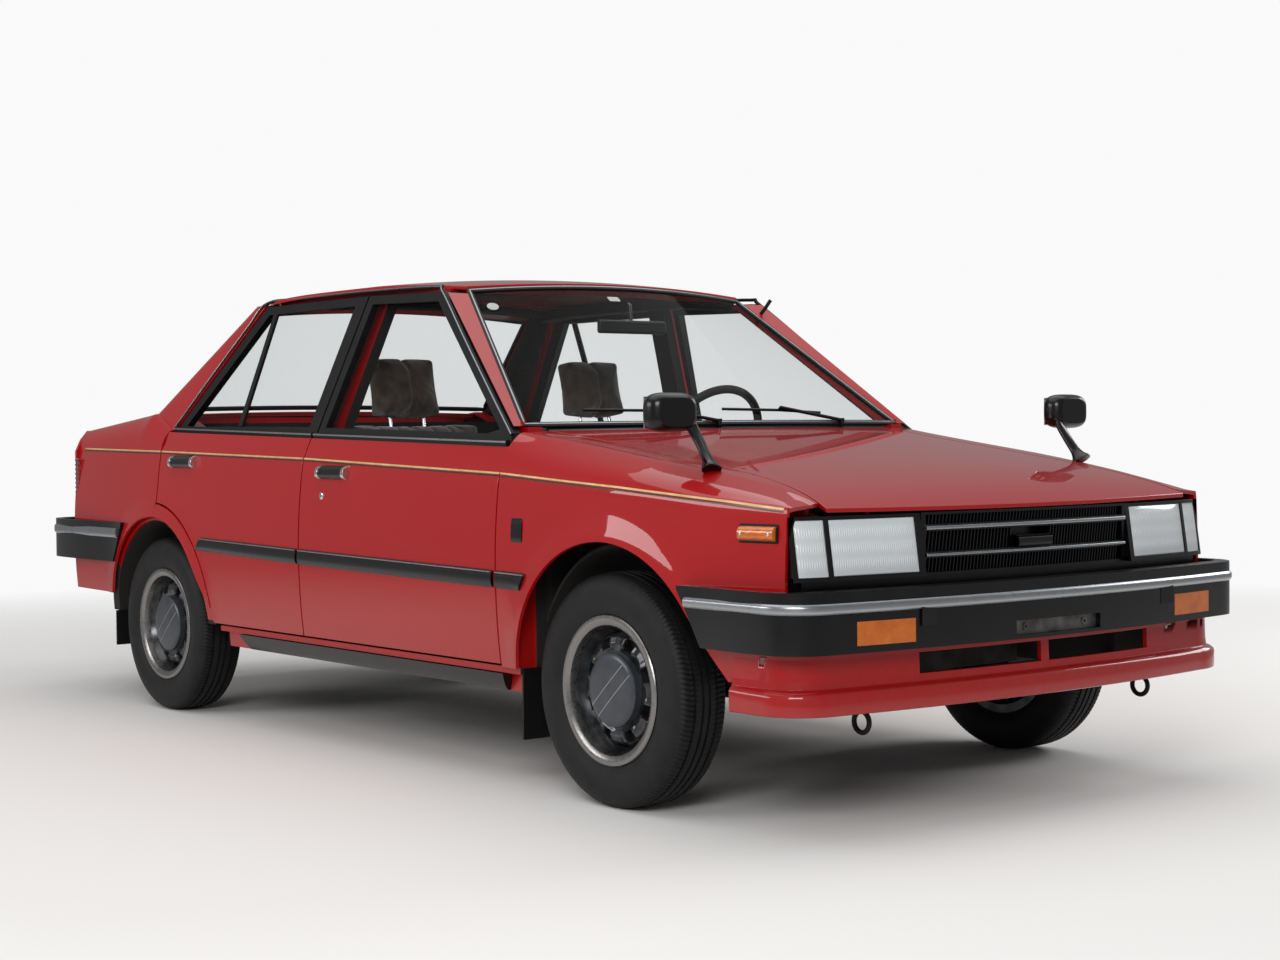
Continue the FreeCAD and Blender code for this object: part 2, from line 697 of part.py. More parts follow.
def body_frame():
    cross = []
    floor = box(-700, 700, 352, SILL_REAR, FLOOR_Z, FLOOR_Z + 18)
    floor = floor.fuse(box(-638, 638, 330, 360, FLOOR_Z, FLOOR_Z + 18))
    tunnel = box(-112, 112, 340, 1900, FLOOR_Z, 400).cut(box(-94, 94, 300, 1880, 200, 384))
    floor = floor.cut(box(-94, 94, 300, 1880, 200, 384))
    cross += [tunnel, floor]
    cross.append(box(-645, 645, 330, 345, 262, 850))
    cross.append(box(-645, 645, 340, 440, 835, 850))
    cross.append(box(-560, 560, -600, -585, 300, 700).cut(box(-390, 390, -610, -580, 340, 660)))
    cross.append(box(-684, 684, 1960, SILL_REAR, FLOOR_Z, 412))
    cross.append(box(-575, 575, 1960, 3085, 400, 412))
    cross.append(box(-575, 575, 2330, 2342, 405, 940))
    cross.append(box(-575, 575, TAIL_WALL - 15, TAIL_WALL, 405, 800))
    for y0, y1 in ((1005.0, 1060.0), (1940.0, 1990.0)):
        cross.append(roof_slab(-500.0, 500.0, y0, y1, lambda x: roof_depth(x) - 2.0, 24.0).cut(roof_panel(SEAT)))
    cross += deck_bridge()
    for x in (-480.0, 480.0):
        top = hood_z(x, -592.0) - 15.0
        cross.append(Part.makeCylinder(7.0, top - 690.0, V(x, -592.5, 690.0)))
        top = deck_z(x, TAIL_WALL) - 18.6
        cross.append(Part.makeCylinder(7.0, top - 790.0, V(x, TAIL_WALL - 7.5, 790.0)))
    side = fused(side_frame() + [strut_top()], False)
    return fused(cross + [side, mirrored(side)], False)


# ---------------------------------------------------------------- nose and tail
def wrap_plan(front, curve, corner_x, corner, side, end, sign):
    """Plan curve of a bumper or valance from the middle round its corner: points (x, y)."""
    points = []
    for x in spread(0.0, corner_x, 6):
        points.append((x, front - sign * curve * x * x))
    x0, y0 = points[-1]
    for turn in (25.0, 50.0, 70.0, 90.0):
        a = math.radians(turn)
        points.append((x0 + (side - x0) * math.sin(a), y0 - sign * corner * (1.0 - math.cos(a))))
    y1 = points[-1][1]
    points += [(side, y1 + (end - y1) * t) for t in (0.5, 1.0)]
    return points


def wrapped(outer, inner, z0, z1):
    """A band between two plan curves, both carried over to the other side."""
    edges = []
    for path in (outer, inner):
        full = [(-x, y) for x, y in reversed(path[1:])] + path
        curve = Part.BSplineCurve()
        curve.interpolate([V(x, y, z0) for x, y in full])
        edges.append(curve.toShape())
    ends = []
    for i in (-1, 0):
        a = edges[0].Vertexes[i].Point
        b = edges[1].Vertexes[i].Point
        ends.append(Part.makeLine(a, b))
    face = Part.Face(Part.Wire(Part.__sortEdges__(edges + ends)))
    return face.extrude(V(0, 0, z1 - z0))


BUMPER_Z = (420.0, 557.0)
REAR_BUMPER_Z = (479.0, 614.0)


def front_bumper_body():
    outer = wrap_plan(-FRONT_OVERHANG, 1.0e-4, 690.0, 112.0, 805.0, -305.0, -1)
    inner = wrap_plan(-FRONT_OVERHANG + 48.0, 1.0e-4, 680.0, 60.0, 781.0, -305.0, -1)
    shape = wrapped(outer, inner, *BUMPER_Z)
    trim = prism_x([(-300, 557), (-385, 419), (-200, 419), (-200, 560)], -900, 900)
    shape = shape.cut(trim)
    brackets = [box(x, x + 50, -735, -600 - SEAT, 470, 525) for x in (-450, 400)]
    return fused([shape] + brackets).cut(side_room(-640.0, -280.0))


def side_room(y0, y1):
    """Room of the body's sides, kept free of a bumper's ends."""
    left = lower_side(y0, y1, -2.0 * SEAT, 500.0)
    return left.fuse(mirrored(left))


PLATE_HOLE_X = 105.0
PLATE_HOLE_Z = 446.0
PLATE_HOLE_R = 3.5
PLATE_FACE = -734.0


def plate_bracket():
    """Bare steel strip for a number plate, let into the bumper, with its two bolt holes."""
    strip = box(-150, 150, PLATE_FACE, PLATE_FACE + 4, 429, 463)
    for x in (-PLATE_HOLE_X, PLATE_HOLE_X):
        strip = strip.cut(Part.makeCylinder(PLATE_HOLE_R, 20, V(x, PLATE_FACE - 8, PLATE_HOLE_Z), V(0, 1, 0)))
    return strip


def plate_recess():
    room = box(-150 - SEAT, 150 + SEAT, -800, PLATE_FACE + 4 + SEAT, 429 - SEAT, 463 + SEAT)
    for x in (-PLATE_HOLE_X, PLATE_HOLE_X):
        room = room.fuse(Part.makeCylinder(9.0, 90.0, V(x, -790, PLATE_HOLE_Z), V(0, 1, 0)))
    return room


def indicator_zone(gap):
    return pair(box(464 - gap, 628 + gap, -800, -687 + gap, 436 - gap, 489 + gap))


def front_bumper():
    shape = front_bumper_body().cut(plate_recess())
    for zone in indicator_zone(SEAT):
        shape = shape.cut(zone)
    return shape


def front_indicators():
    body = front_bumper_body()
    return [body.common(zone) for zone in indicator_zone(0.0)]


def front_valance():
    outer = wrap_plan(-727.0, 1.1e-4, 640.0, 120.0, 779.0, -455.0, -1)
    inner = wrap_plan(-715.0, 1.1e-4, 632.0, 118.0, 767.0, -455.0, -1)
    shape = wrapped(outer, inner, 281.0, BUMPER_Z[0] - 1.0)
    for x in (-410.0, 14.0):
        shape = shape.cut(box(x, x + 396.0, -760, -640, 357, 405))
    brackets = [box(x, x + 40, -722, -600 - SEAT, 306, 330) for x in (-240, 200)]
    return fused([shape] + brackets)


def nose_plan(x0, x1, back, setback, z0, z1):
    """A block between the nose curve and a flat back."""
    front = [(x, lamp_face(x, 647.0) + setback) for x in spread(x0, x1, 6)]
    points = front + [(x1, back), (x0, back)]
    face = Part.Face(polygon([(x, y, z0) for x, y in points]))
    return face.extrude(V(0, 0, z1 - z0))


def grille():
    body = nose_plan(-366.0, 366.0, -600.0 - SEAT, 4.0, 573.0, 718.0)
    for z0, z1 in ((580.0, 613.0), (627.0, 674.0), (690.0, 712.0)):
        body = body.cut(nose_plan(-352.0, 352.0, -622.0, -30.0, z0, z1))
    body = body.fuse(nose_plan(-60.0, 60.0, -610.0, 2.0, 624.0, 655.0))
    frame = nose_plan(-700.0, 700.0, -600.0 - SEAT, 6.0, 531.0, 573.0)
    return fused([body, frame])


def headlamp():
    z0, z1 = 573.0 + SEAT, 717.0
    front = [(x, lamp_face(x, 647.0)) for x in (366.0 + SEAT, 440.0, 520.0, 600.0, 660.0)]
    points = front + [(700.0, -613.0), (728.0, -598.0 - SEAT)]
    points += [(590.0, -598.0 - SEAT), (590.0, -600.0 - SEAT), (366.0 + SEAT, -600.0 - SEAT)]
    face = Part.Face(polygon([(x, y, z0) for x, y in points]))
    return face.extrude(V(0, 0, z1 - z0))


def tail_plan(x0, x1, depth, z0, z1):
    """A block under the tail's plan curve, either of even depth or back to a flat plane."""
    outer = [(x, tail_face(x, 700.0)) for x in spread(x0, x1, 7)]
    if depth is None:
        inner = [(x1, TAIL + SEAT), (x0, TAIL + SEAT)]
    else:
        inner = [(x, y - depth) for x, y in reversed(outer)]
    face = Part.Face(polygon([(x, y, z0) for x, y in outer + inner]))
    return face.extrude(V(0, 0, z1 - z0))


LAMP_Z = (664.0, 825.0)
LAMP_X = 440.0


def rear_panel():
    parts = [tail_plan(-752.0, 752.0, 14.0, 430.0, LAMP_Z[0] - SEAT)]
    parts.append(tail_plan(-LAMP_X + SEAT, LAMP_X - SEAT, 14.0, LAMP_Z[0] - 2.0, 838.0))
    parts.append(tail_plan(-592.0, 592.0, 14.0, LAMP_Z[1] + SEAT, 838.0))
    parts.append(box(-560, 560, TAIL_WALL + SEAT, 3132, 590, 605))
    outline = [(598, 825.4), (752, 825.4), (752, 852), (732, 892), (704, 924), (598, 930)]
    corner = prism_y(outline, TAIL + SEAT, 3200).common(tail_plan(500.0, 790.0, None, 700.0, 950.0))
    strip = tail_plan(560.0, 640.0, 14.0, LAMP_Z[1] + SEAT, 838.0)
    side = tail_plan(735.0, 752.0, None, 430.0, LAMP_Z[0] - SEAT)
    for piece in (corner, strip, side):
        parts += pair(piece)
    return fused(parts)


def tail_lamp_zone(gap):
    """Space of one tail lamp, wrapped round the corner to the side."""
    z0, z1 = LAMP_Z[0] - gap, LAMP_Z[1] + gap
    front = 3054.0 - gap
    outer = [(x, tail_face(x, 700.0)) for x in spread(LAMP_X - gap, 735.0, 5)]
    points = outer + [(757.0 + gap, TAIL), (758.0 + gap, front), (700.0, front), (700.0, TAIL + 10.0)]
    points += [(LAMP_X - gap, tail_face(LAMP_X, 700.0) - 30.0)]
    face = Part.Face(polygon([(x, y, z0) for x, y in points]))
    return face.extrude(V(0, 0, z1 - z0))


def rear_bumper():
    end = WHEELBASE + REAR_OVERHANG
    outer = wrap_plan(end, 1.0e-4, 690.0, 115.0, 805.0, 2620.0, 1)
    inner = wrap_plan(end - 50.0, 1.0e-4, 670.0, 70.0, 790.0, 2620.0, 1)
    shape = wrapped(outer, inner, *REAR_BUMPER_Z)
    shape = shape.cut(prism_x([(2617, 614), (2699, 479), (2500, 479), (2500, 614)], -900, 900))
    brackets = []
    for x in (-360, 300):
        brackets.append(box(x, x + 60, 3100, end - 30, 510, 580))
    shape = fused([shape] + brackets).cut(side_room(2560.0, TAIL + 4.0))
    return shape.cut(tail_plan(-700.0, 700.0, None, 400.0, 640.0).fuse(seat_gap()))


def seat_gap():
    """Thin clearance behind the rear panel's face, where the bumper brackets seat."""
    gap = tail_plan(-400.0, 400.0, 10.0, 480.0, 600.0)
    gap.translate(V(0, SEAT, 0))
    return gap


# ---------------------------------------------------------------- cabin
def cowl_panel():
    rows = []
    for v in spread(0.0, 1.0, 4):
        row = []
        for x in spread(-617.0, 617.0, 9):
            y0 = hood_rear(x) + SHUT
            y1 = SCREEN_LOW[1] + SCREEN_LOW[2] * (1.0 - (x / SCREEN_LOW[0]) ** 2) - 0.5
            z0 = hood_z(x, y0) - 2.0
            row.append((x, y0 + (y1 - y0) * v, z0 + (923.0 - z0) * v))
        rows.append(row)
    under = [[(x, y, z - 10.0) for x, y, z in row] for row in rows]
    feet = [box(x, x + 40, 424, 436, 850 + SEAT, 908) for x in (-600, 560)]
    return fused([slab(rows, under)] + feet)


STEERING_X = 360.0
COLUMN_TILT = math.radians(28.0)
STEERING_CENTRE = (STEERING_X, 930.0, 868.0)
STEERING_R = 186.0


def column_point(distance):
    """A point on the steering axis, measured from the wheel's centre towards the driver."""
    x, y, z = STEERING_CENTRE
    return (x, y + distance * math.cos(COLUMN_TILT), z + distance * math.sin(COLUMN_TILT))


def dashboard():
    outline = [(441, 650), (441, 893), (520, 902), (610, 908), (655, 884), (640, 740), (570, 640)]
    body = prism_x(outline, -640.0 + SEAT, 640.0 - SEAT)
    hump = prism_x([(560, 880), (560, 925), (650, 930), (672, 860), (640, 800)], 220.0, 500.0)
    console = box(-100, 100, 570, 760, 400 + SEAT, 700)
    column = rod(column_point(-330.0), column_point(-30.0 - SEAT), 24.0)
    return fused([body, hump, console, column])


def steering_wheel():
    centre = V(*STEERING_CENTRE)
    axis = V(0, math.cos(COLUMN_TILT), math.sin(COLUMN_TILT))
    rim = Part.makeTorus(STEERING_R, 13.0, centre, axis)
    hub = Part.makeCylinder(46.0, 34.0, V(*column_point(-30.0)), axis)
    down = V(0, math.sin(COLUMN_TILT), -math.cos(COLUMN_TILT))
    parts = [rim, hub]
    for side in (-1.0, 1.0):
        tip = centre + V(side * STEERING_R * 0.94, 0, 0) + down * STEERING_R * 0.34
        spoke = Part.makeCylinder(11.0, (tip - centre).Length, centre - axis * 12.0, tip - centre)
        parts.append(spoke)
    return fused(parts)


SEAT_X = 365.0
SEAT_HALF = 245.0


def cushion(points, x0, x1, round_r):
    """A padded block: an outline in (y, z) across the seat with its edges rounded."""
    block = prism_x(points, x0, x1)
    return block.makeFillet(round_r, block.Edges)


def front_seat():
    x0, x1 = SEAT_X - SEAT_HALF, SEAT_X + SEAT_HALF
    base = cushion([(900, 385), (900, 545), (1380, 500), (1380, 385)], x0, x1, 24.0)
    back = cushion([(1300, 507.9), (1430, 495.7), (1565, 925), (1460, 950)], x0, x1, 26.0)
    head = cushion([(1467, 970), (1562, 955), (1600, 1140), (1515, 1150)], SEAT_X - 125, SEAT_X + 125, 22.0)
    posts = [rod((SEAT_X + x, 1514, 937.8), (SEAT_X + x, 1524, 985), 6.0) for x in (-60.0, 60.0)]
    return [base, back, fused([head] + posts)]


def seat_frame():
    """Runners, cushion pan, recliner plates and headrest posts of one front seat."""
    parts = []
    for x in (SEAT_X - 190.0, SEAT_X + 150.0):
        parts.append(box(x, x + 40, 930, 1370, 280 + SEAT, 312))
        parts.append(box(x, x + 40, 960, 990, 310, 382))
        parts.append(box(x, x + 40, 1300, 1330, 310, 382))
    parts.append(box(SEAT_X - 200, SEAT_X + 200, 930, 1360, 376, 385 - SEAT))
    return fused(parts)


def rear_seat():
    low = 412.0 + SEAT
    base = cushion([(1790, low), (1790, 540), (2200, 505), (2200, low)], -548, 548, 24.0)
    back = cushion([(2120, 512.3), (2230, 502.9), (2325, 905), (2255, 925)], -548, 548, 24.0)
    return [base, back]


def interior_mirror():
    glass = box(-125, 125, 846, 866, 1193, 1233)
    glass = glass.makeFillet(8.0, glass.Edges)
    stem = rod((0, 860, 1225), (0, 868, 1300), 6.0)
    above = slab(screen_grid(SCREEN_LOW, SCREEN_HIGH, (3.0, -4.0 - SEAT)), screen_grid(SCREEN_LOW, SCREEN_HIGH, (-60.0, 90.0)))
    return fused([glass, stem]).cut(above)


def screen_point(u, t, lift):
    """A point over the windscreen: u across, t up it, lifted off the glass."""
    ends = []
    for half, y, y_bow, z, z_bow in (SCREEN_LOW, SCREEN_HIGH):
        ends.append(V(half * u, y + y_bow * (1 - u * u), z + z_bow * (1 - u * u)))
    at = ends[0] + (ends[1] - ends[0]) * t
    return at + V(0, -0.6 * lift, 0.8 * lift)


def wiper(pivot_u, tip_u):
    """One wiper parked low on the screen: spindle, arm and blade."""
    pivot = screen_point(pivot_u, 0.0, 0.0) + V(0, -10.5, 0)
    pivot.z = 923.2
    elbow = screen_point((pivot_u + tip_u) / 2, 0.075, 17.0)
    parts = [Part.makeCylinder(7.0, 17.7, pivot - V(0, 0, 0.7))]
    parts.append(rod(tuple(pivot + V(0, 0, 11.0)), tuple(elbow), 5.0))
    low = screen_point(pivot_u + 0.12 * (tip_u - pivot_u), 0.06, 6.3)
    high = screen_point(tip_u, 0.085, 6.3)
    middle = screen_point((pivot_u + tip_u) / 2, 0.0775, 6.3)
    parts += [rod(tuple(low), tuple(middle), 4.0), rod(tuple(middle), tuple(high), 4.0)]
    parts += [rod(tuple(elbow), tuple(middle), 4.0)]
    parts.append(Part.makeSphere(4.0, middle))
    return fused(parts)


def wipers():
    return [wiper(0.62, -0.02), wiper(-0.10, -0.72)]


def fender_mirror():
    foot = box(638, 690, -325, -215, 770, 836)
    room = shoulder_slab(FENDER_STATIONS, fender_profile, SEAT)
    foot = foot.cut(room).common(box(600, 700, -330, -200, 800, 840))
    foot = max(foot.Solids, key=lambda s: s.BoundBox.ZMax)
    arm = rod((664, -262, 826), (708, -186, 925), 8.0)
    head = box(640, 780, -200, -152, 905, 1000)
    head = head.makeFillet(14.0, head.Edges)
    return fused([foot, arm, head])


# ---------------------------------------------------------------- running gear
def wheel_centre(track, station):
    return V(track / 2, station, TYRE_R)


def turned(points, centre):
    """A section in (x across from the wheel's middle, radius) turned about the axle."""
    face = Part.Face(polygon([(centre.x + x, centre.y, centre.z + r) for x, r in points]))
    return face.revolve(centre, V(1, 0, 0), 360.0)


def tyre(centre):
    half = TYRE_WIDTH / 2
    bore = RIM_R + SEAT
    section = [(-62, bore), (-62, 182.8), (-67.5, 190), (-half + 1, 214), (-half, 232), (-half + 4, 258)]
    section += [(-half + 11, 276), (-half + 20, TYRE_R - 2.5), (-30, TYRE_R)]
    section += [(-x, r) for x, r in reversed(section)]
    return turned(section, centre)


def rim(centre):
    """Rim well, flanges and disc with its hub and vent holes."""
    barrel = [(-66.5, 158), (-66.5, 182), (-62.4, 182), (-62.4, RIM_R), (-38, RIM_R), (-28, 146), (14, 146)]
    barrel += [(34, RIM_R), (62.4, RIM_R), (62.4, 182), (66.5, 182), (66.5, 158), (38, 158), (20, 139)]
    barrel += [(-32, 139), (-42, 158)]
    disc = [(10, 141), (18, 141), (30, 132), (37, 110), (34, 80), (38, 62), (56, 56), (60, 40), (60, 0)]
    disc += [(-20, 0), (-20, 50), (22, 62), (26, 80), (28, 108), (22, 126)]
    solid = turned(barrel, centre).fuse(turned(disc, centre))
    for i in range(12):
        a = 2 * math.pi * i / 12
        y, z = centre.y + 98 * math.cos(a), centre.z + 98 * math.sin(a)
        solid = solid.cut(cylinder_x(11.0, centre.x, centre.x + 60.0, y, z))
    bore = cylinder_x(SPINDLE_R + SPINDLE_FIT, centre.x - 30, centre.x + 46, centre.y, centre.z)
    return solid.cut(bore).removeSplitter()


def kingpin(height):
    """A point on the steering axis, at a height above the axle."""
    return (KNUCKLE_X - height * math.tan(KINGPIN_LEAN), 0.0, TYRE_R + height)


def knuckle():
    centre = wheel_centre(FRONT_TRACK, 0.0)
    spindle = cylinder_x(SPINDLE_R, 625.0, centre.x + 44.0, 0.0, TYRE_R)
    plate = box(600.0, 634.0, -34.0, 34.0, 215.0, 355.0)
    foot = rod(kingpin(-84.0), kingpin(-50.0), 17.0)
    strut = rod(kingpin(30.0), kingpin(300.0), 24.0)
    arm = box(596.0, 616.0, 20.0, 130.0, 268.0, 288.0)
    return fused([spindle, plate, foot, strut, arm])


def front_suspension():
    parts = [box(-400 + SEAT, 400 - SEAT, -45, 60, 238, 300)]
    for side in (1.0, -1.0):
        low = kingpin(-84.0 - 2.0)
        inner = (side * 380.0, 10.0, 262.0)
        outer = (side * low[0], low[1], low[2] - 24.0)
        parts.append(rod(inner, outer, 13.0))
        parts.append(rod(kingpin_side(side, -120.0), kingpin_side(side, -84.0 - 2.0 * SEAT), 16.0))
    return fused(parts)


def kingpin_side(side, height):
    x, y, z = kingpin(height)
    return (side * x, y, z)


def strut_top():
    """Upper spring seat, fixed under the inner arch, just over the knuckle's strut."""
    return rod(kingpin(300.0 + SEAT), kingpin(352.0), 20.0)


def rear_axle():
    half = REAR_TRACK / 2 + 44.0
    section = [(0, 88), (55, 88), (100, 23), (620, 23), (620, SPINDLE_R), (half, SPINDLE_R), (half, 0)]
    section = section + [(-x, r) for x, r in reversed(section[1:])]
    parts = [turned(section, V(0, WHEELBASE, TYRE_R))]
    for x in (-495.0, 475.0):
        parts.append(box(x, x + 20, 1905, 2400, 232, FLOOR_Z - SEAT))
        parts.append(box(x, x + 20, 2370, 2400, 232, 290))
        parts.append(Part.makeCylinder(45.0, 400 - SEAT - 300, V(x + 10, WHEELBASE, 300)))
    return fused(parts)


def pipe(points, radius):
    parts = [rod(a, b, radius) for a, b in zip(points, points[1:])]
    parts += [Part.makeSphere(radius, V(*p)) for p in points[1:-1]]
    return parts


def exhaust():
    run = [(50, 65 + SEAT, 400), (50, 150, 380), (50, 200, 215), (50, 2080, 215), (300, 2250, 215), (300, 2560, 230)]
    parts = pipe(run, 21.0)
    parts.append(Part.makeCylinder(72.0, 400.0, V(300, 2540, 285), V(0, 1, 0)))
    parts += [rod((300, 2930, 285), (300, 3120, 262), 20.0)]
    parts += [box(292, 308, 2600, 2620, 340, 400 - SEAT)]
    return fused(parts)


def mud_flaps():
    front = box(640, 768, 346, 352 - SEAT, 128, 309)
    rear = box(640, 768, 2738, 2744, 190, 309 - SEAT)
    return pair(front) + pair(rear)


def tow_hooks():
    parts = []
    for x in (-500.0, 500.0):
        ring = Part.makeTorus(24.0, 6.0, V(x, -592.5, 246.0), V(1, 0, 0))
        parts.append(fused([ring, rod((x, -592.5, 268.0), (x, -592.5, 300.0 - SEAT), 6.0)]))
    return parts


# ---------------------------------------------------------------- the sub-parts
os.makedirs("parts", exist_ok=True)

fender, quarter = front_fender(), quarter_panel().cut(tail_lamp_zone(SEAT))
engine = box(-330, 330, -330, 60, 300 + SEAT, 700)
FIXED = {
    "body_frame": body_frame(),
    "roof_panel": roof_panel(),
    "front_fenders": pair(fender),
    "quarter_panels": pair(quarter),
    "cowl_panel": cowl_panel(),
    "rear_panel": rear_panel(),
    "front_valance": front_valance(),
    "grille": grille(),
    "headlamps": pair(headlamp()),
    "front_indicators": front_indicators(),
    "front_bumper": front_bumper(),
    "plate_bracket": plate_bracket(),
    "rear_bumper": rear_bumper(),
    "tail_lamps": pair(tail_lamp_zone(0.0)),
    "windscreen": windscreen(),
    "rear_window": rear_window(),
    "dashboard": dashboard(),
    "front_seats": [s for piece in front_seat() for s in pair(piece)],
    "seat_frames": pair(seat_frame()),
    "rear_seat": rear_seat(),
    "wipers": wipers(),
    "fender_mirrors": pair(fender_mirror()),
    "interior_mirror": interior_mirror(),
    "engine_block": engine,
    "exhaust": exhaust(),
    "fuel_tank": box(-440, 160, 2500, 2960, 262, 400 - SEAT),
    "front_suspension": front_suspension(),
    "rear_axle": rear_axle(),
    "mud_flaps": mud_flaps(),
    "tow_hooks": tow_hooks(),
    "hood": hood(),
    "trunk_lid": trunk_lid(),
    "steering_wheel": steering_wheel(),
}

for name, shapes in FIXED.items():
    written(name, shapes)

HANDED = {
    "front_door": front_door(),
    "rear_door": rear_door(),
    "front_door_glass": door_glass(FRONT_WINDOW),
    "rear_door_glass": door_glass(REAR_WINDOW),
    "knuckle": knuckle(),
    "front_tyre": tyre(wheel_centre(FRONT_TRACK, 0.0)),
    "front_rim": rim(wheel_centre(FRONT_TRACK, 0.0)),
    "rear_tyre": tyre(wheel_centre(REAR_TRACK, WHEELBASE)),
    "rear_rim": rim(wheel_centre(REAR_TRACK, WHEELBASE)),
}
for name, shape in HANDED.items():
    written(f"{name}_left", shape)
    written(f"{name}_right", mirrored(shape))
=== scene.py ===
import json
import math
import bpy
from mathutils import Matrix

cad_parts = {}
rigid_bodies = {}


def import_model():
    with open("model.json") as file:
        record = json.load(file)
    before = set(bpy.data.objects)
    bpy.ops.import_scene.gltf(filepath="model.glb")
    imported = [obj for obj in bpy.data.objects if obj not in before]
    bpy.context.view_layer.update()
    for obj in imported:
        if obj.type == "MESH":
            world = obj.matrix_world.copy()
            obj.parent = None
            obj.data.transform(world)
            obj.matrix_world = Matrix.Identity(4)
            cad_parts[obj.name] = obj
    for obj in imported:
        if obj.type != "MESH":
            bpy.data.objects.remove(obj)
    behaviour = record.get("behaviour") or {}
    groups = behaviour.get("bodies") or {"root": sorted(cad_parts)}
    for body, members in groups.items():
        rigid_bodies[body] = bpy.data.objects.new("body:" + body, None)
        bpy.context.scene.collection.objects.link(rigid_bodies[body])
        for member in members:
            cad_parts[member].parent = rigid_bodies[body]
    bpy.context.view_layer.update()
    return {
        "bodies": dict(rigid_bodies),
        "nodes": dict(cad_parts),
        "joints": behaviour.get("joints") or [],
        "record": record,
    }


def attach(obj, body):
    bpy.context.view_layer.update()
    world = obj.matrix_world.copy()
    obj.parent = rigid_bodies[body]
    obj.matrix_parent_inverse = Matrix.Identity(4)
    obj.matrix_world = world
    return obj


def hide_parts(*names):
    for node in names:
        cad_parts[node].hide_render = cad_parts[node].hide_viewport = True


bl_info = {
    "name": "Compact Four-Door Sedan",
    "version": (1, 0, 0),
    "blender": (4, 5, 0),
    "location": "View3D > Sidebar > Sedan",
    "description": "Builds the bodywork, trim, wheels and cabin of a compact four-door sedan",
    "category": "Add Mesh",
}

import bmesh
import bpy
import numpy as np
from bpy.props import FloatProperty, FloatVectorProperty, IntProperty, PointerProperty
from mathutils import Quaternion, Vector

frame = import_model()

AXLE_Y = 1270.0  # millimetres from the front axle back to the middle of the length
SHUT = 6.0
SIDES = (("left", 1.0), ("right", -1.0))


# ---------------------------------------------------------------- body shape, millimetres from the front axle
def crease_z(y):
    """Height of the side crease: a shallow arc rising rearwards."""
    return 734.0 + 0.05 * (y + 581.0) - 9.4e-6 * (y + 581.0) * (y - 1419.0)


def belt_z(y):
    return 872.0 + 0.0232 * (y - 434.0)


def half_width(y):
    """Plan of the widest line: straight, with parabolas that draw in the nose and the tail."""
    nose = np.maximum(0.0, (200.0 - y) / 800.0)
    tail = np.maximum(0.0, (y - 2100.0) / 1000.0)
    return 797.0 - 60.0 * nose**2 - 34.0 * tail**2


ARCHES = {"front": (-12.0, 285.0, 360.0), "rear": (2395.0, 287.0, 353.0)}


def flare(y, z):
    """Swelling of the side round both wheel arches: a bell curve of the distance from the arch."""
    swell = 0.0
    for yc, zc, r in ARCHES.values():
        away = np.maximum(0.0, np.hypot(y - yc, z - zc) - r)
        swell = swell + 9.0 * np.exp(-((away / 42.0) ** 2))
    return swell


def side_x(y, z):
    """Side skin: two parabolas in height that meet at 560 mm, then a straight lean above the crease."""
    crease = crease_z(y)
    low = np.minimum(z, crease)
    upper = 20.0 * (np.maximum(0.0, low - 560.0) / 270.0) ** 2
    lower = 16.0 * (np.maximum(0.0, 560.0 - low) / 250.0) ** 2
    return half_width(y) - upper - lower - 0.45 * np.maximum(0.0, z - crease) + flare(y, z)


def hood_z(x, y):
    """Hood: a straight fall forwards that drops away at the nose, crowned across."""
    return 925.0 - 0.135 * (440.0 - y) - 37.0 * (np.maximum(0.0, 440.0 - y) / 1080.0) ** 8 - 12.0 * (x / 620.0) ** 2


def hood_edge(y):
    return 592.0 + 50.0 * (np.maximum(0.0, -300.0 - y) / 340.0) ** 2 + 30.0 * (np.maximum(0.0, y - 150.0) / 290.0) ** 2


def deck_z(x, y):
    return 990.0 - 0.098 * (y - 2601.0) - 18.0 * (x / 705.0) ** 2


def roof_z(x, y):
    """Roof: level at the front pillar, falling by parabolas forwards, rearwards and across."""
    front = 30.0 * (np.maximum(0.0, 1350.0 - y) / 420.0) ** 2
    rear = 35.0 * (np.maximum(0.0, y - 1350.0) / 760.0) ** 5
    return 1372.0 - front - rear - 30.0 * (x / 560.0) ** 2


def cabin_x(y, z):
    return 734.0 - 0.355 * (z - 905.0) - 8.0 * ((y - 1200.0) / 1000.0) ** 2


def lamp_face(x, z):
    return -672.0 + 1.15e-4 * x**2 + 0.15 * (z - 647.0)


def tail_face(x, z):
    return 3150.0 - 0.9e-4 * x**2 - 0.06 * (z - 700.0)


# ---------------------------------------------------------------- mesh tools
def stack(x, y, z):
    x, y, z = np.broadcast_arrays(np.asarray(x, float), np.asarray(y, float), np.asarray(z, float))
    return np.stack([x, y, z], -1)


def blend_line(a, b, t):
    return a + (b - a) * t


def through(points, count):
    """Catmull-Rom curve through the second last axis of points, resampled evenly in its own parameter."""
    points = np.asarray(points, float)
    last = points.shape[-2] - 1
    s = np.linspace(0.0, last, count)
    i = np.minimum(s.astype(int), last - 1)
    t = (s - i)[:, None]
    p1, p2 = points[..., i, :], points[..., i + 1, :]
    p0 = np.where(i[:, None] > 0, points[..., np.maximum(i - 1, 0), :], 2 * p1 - p2)
    p3 = np.where(i[:, None] < last - 1, points[..., np.minimum(i + 2, last), :], 2 * p2 - p1)
    return 0.5 * (2 * p1 + (p2 - p0) * t + (2 * p0 - 5 * p1 + 4 * p2 - p3) * t**2 + (3 * p1 - p0 - 3 * p2 + p3) * t**3)


def grid_quads(index):
    return np.stack([index[:-1, :-1], index[1:, :-1], index[1:, 1:], index[:-1, 1:]], -1).reshape(-1, 4)


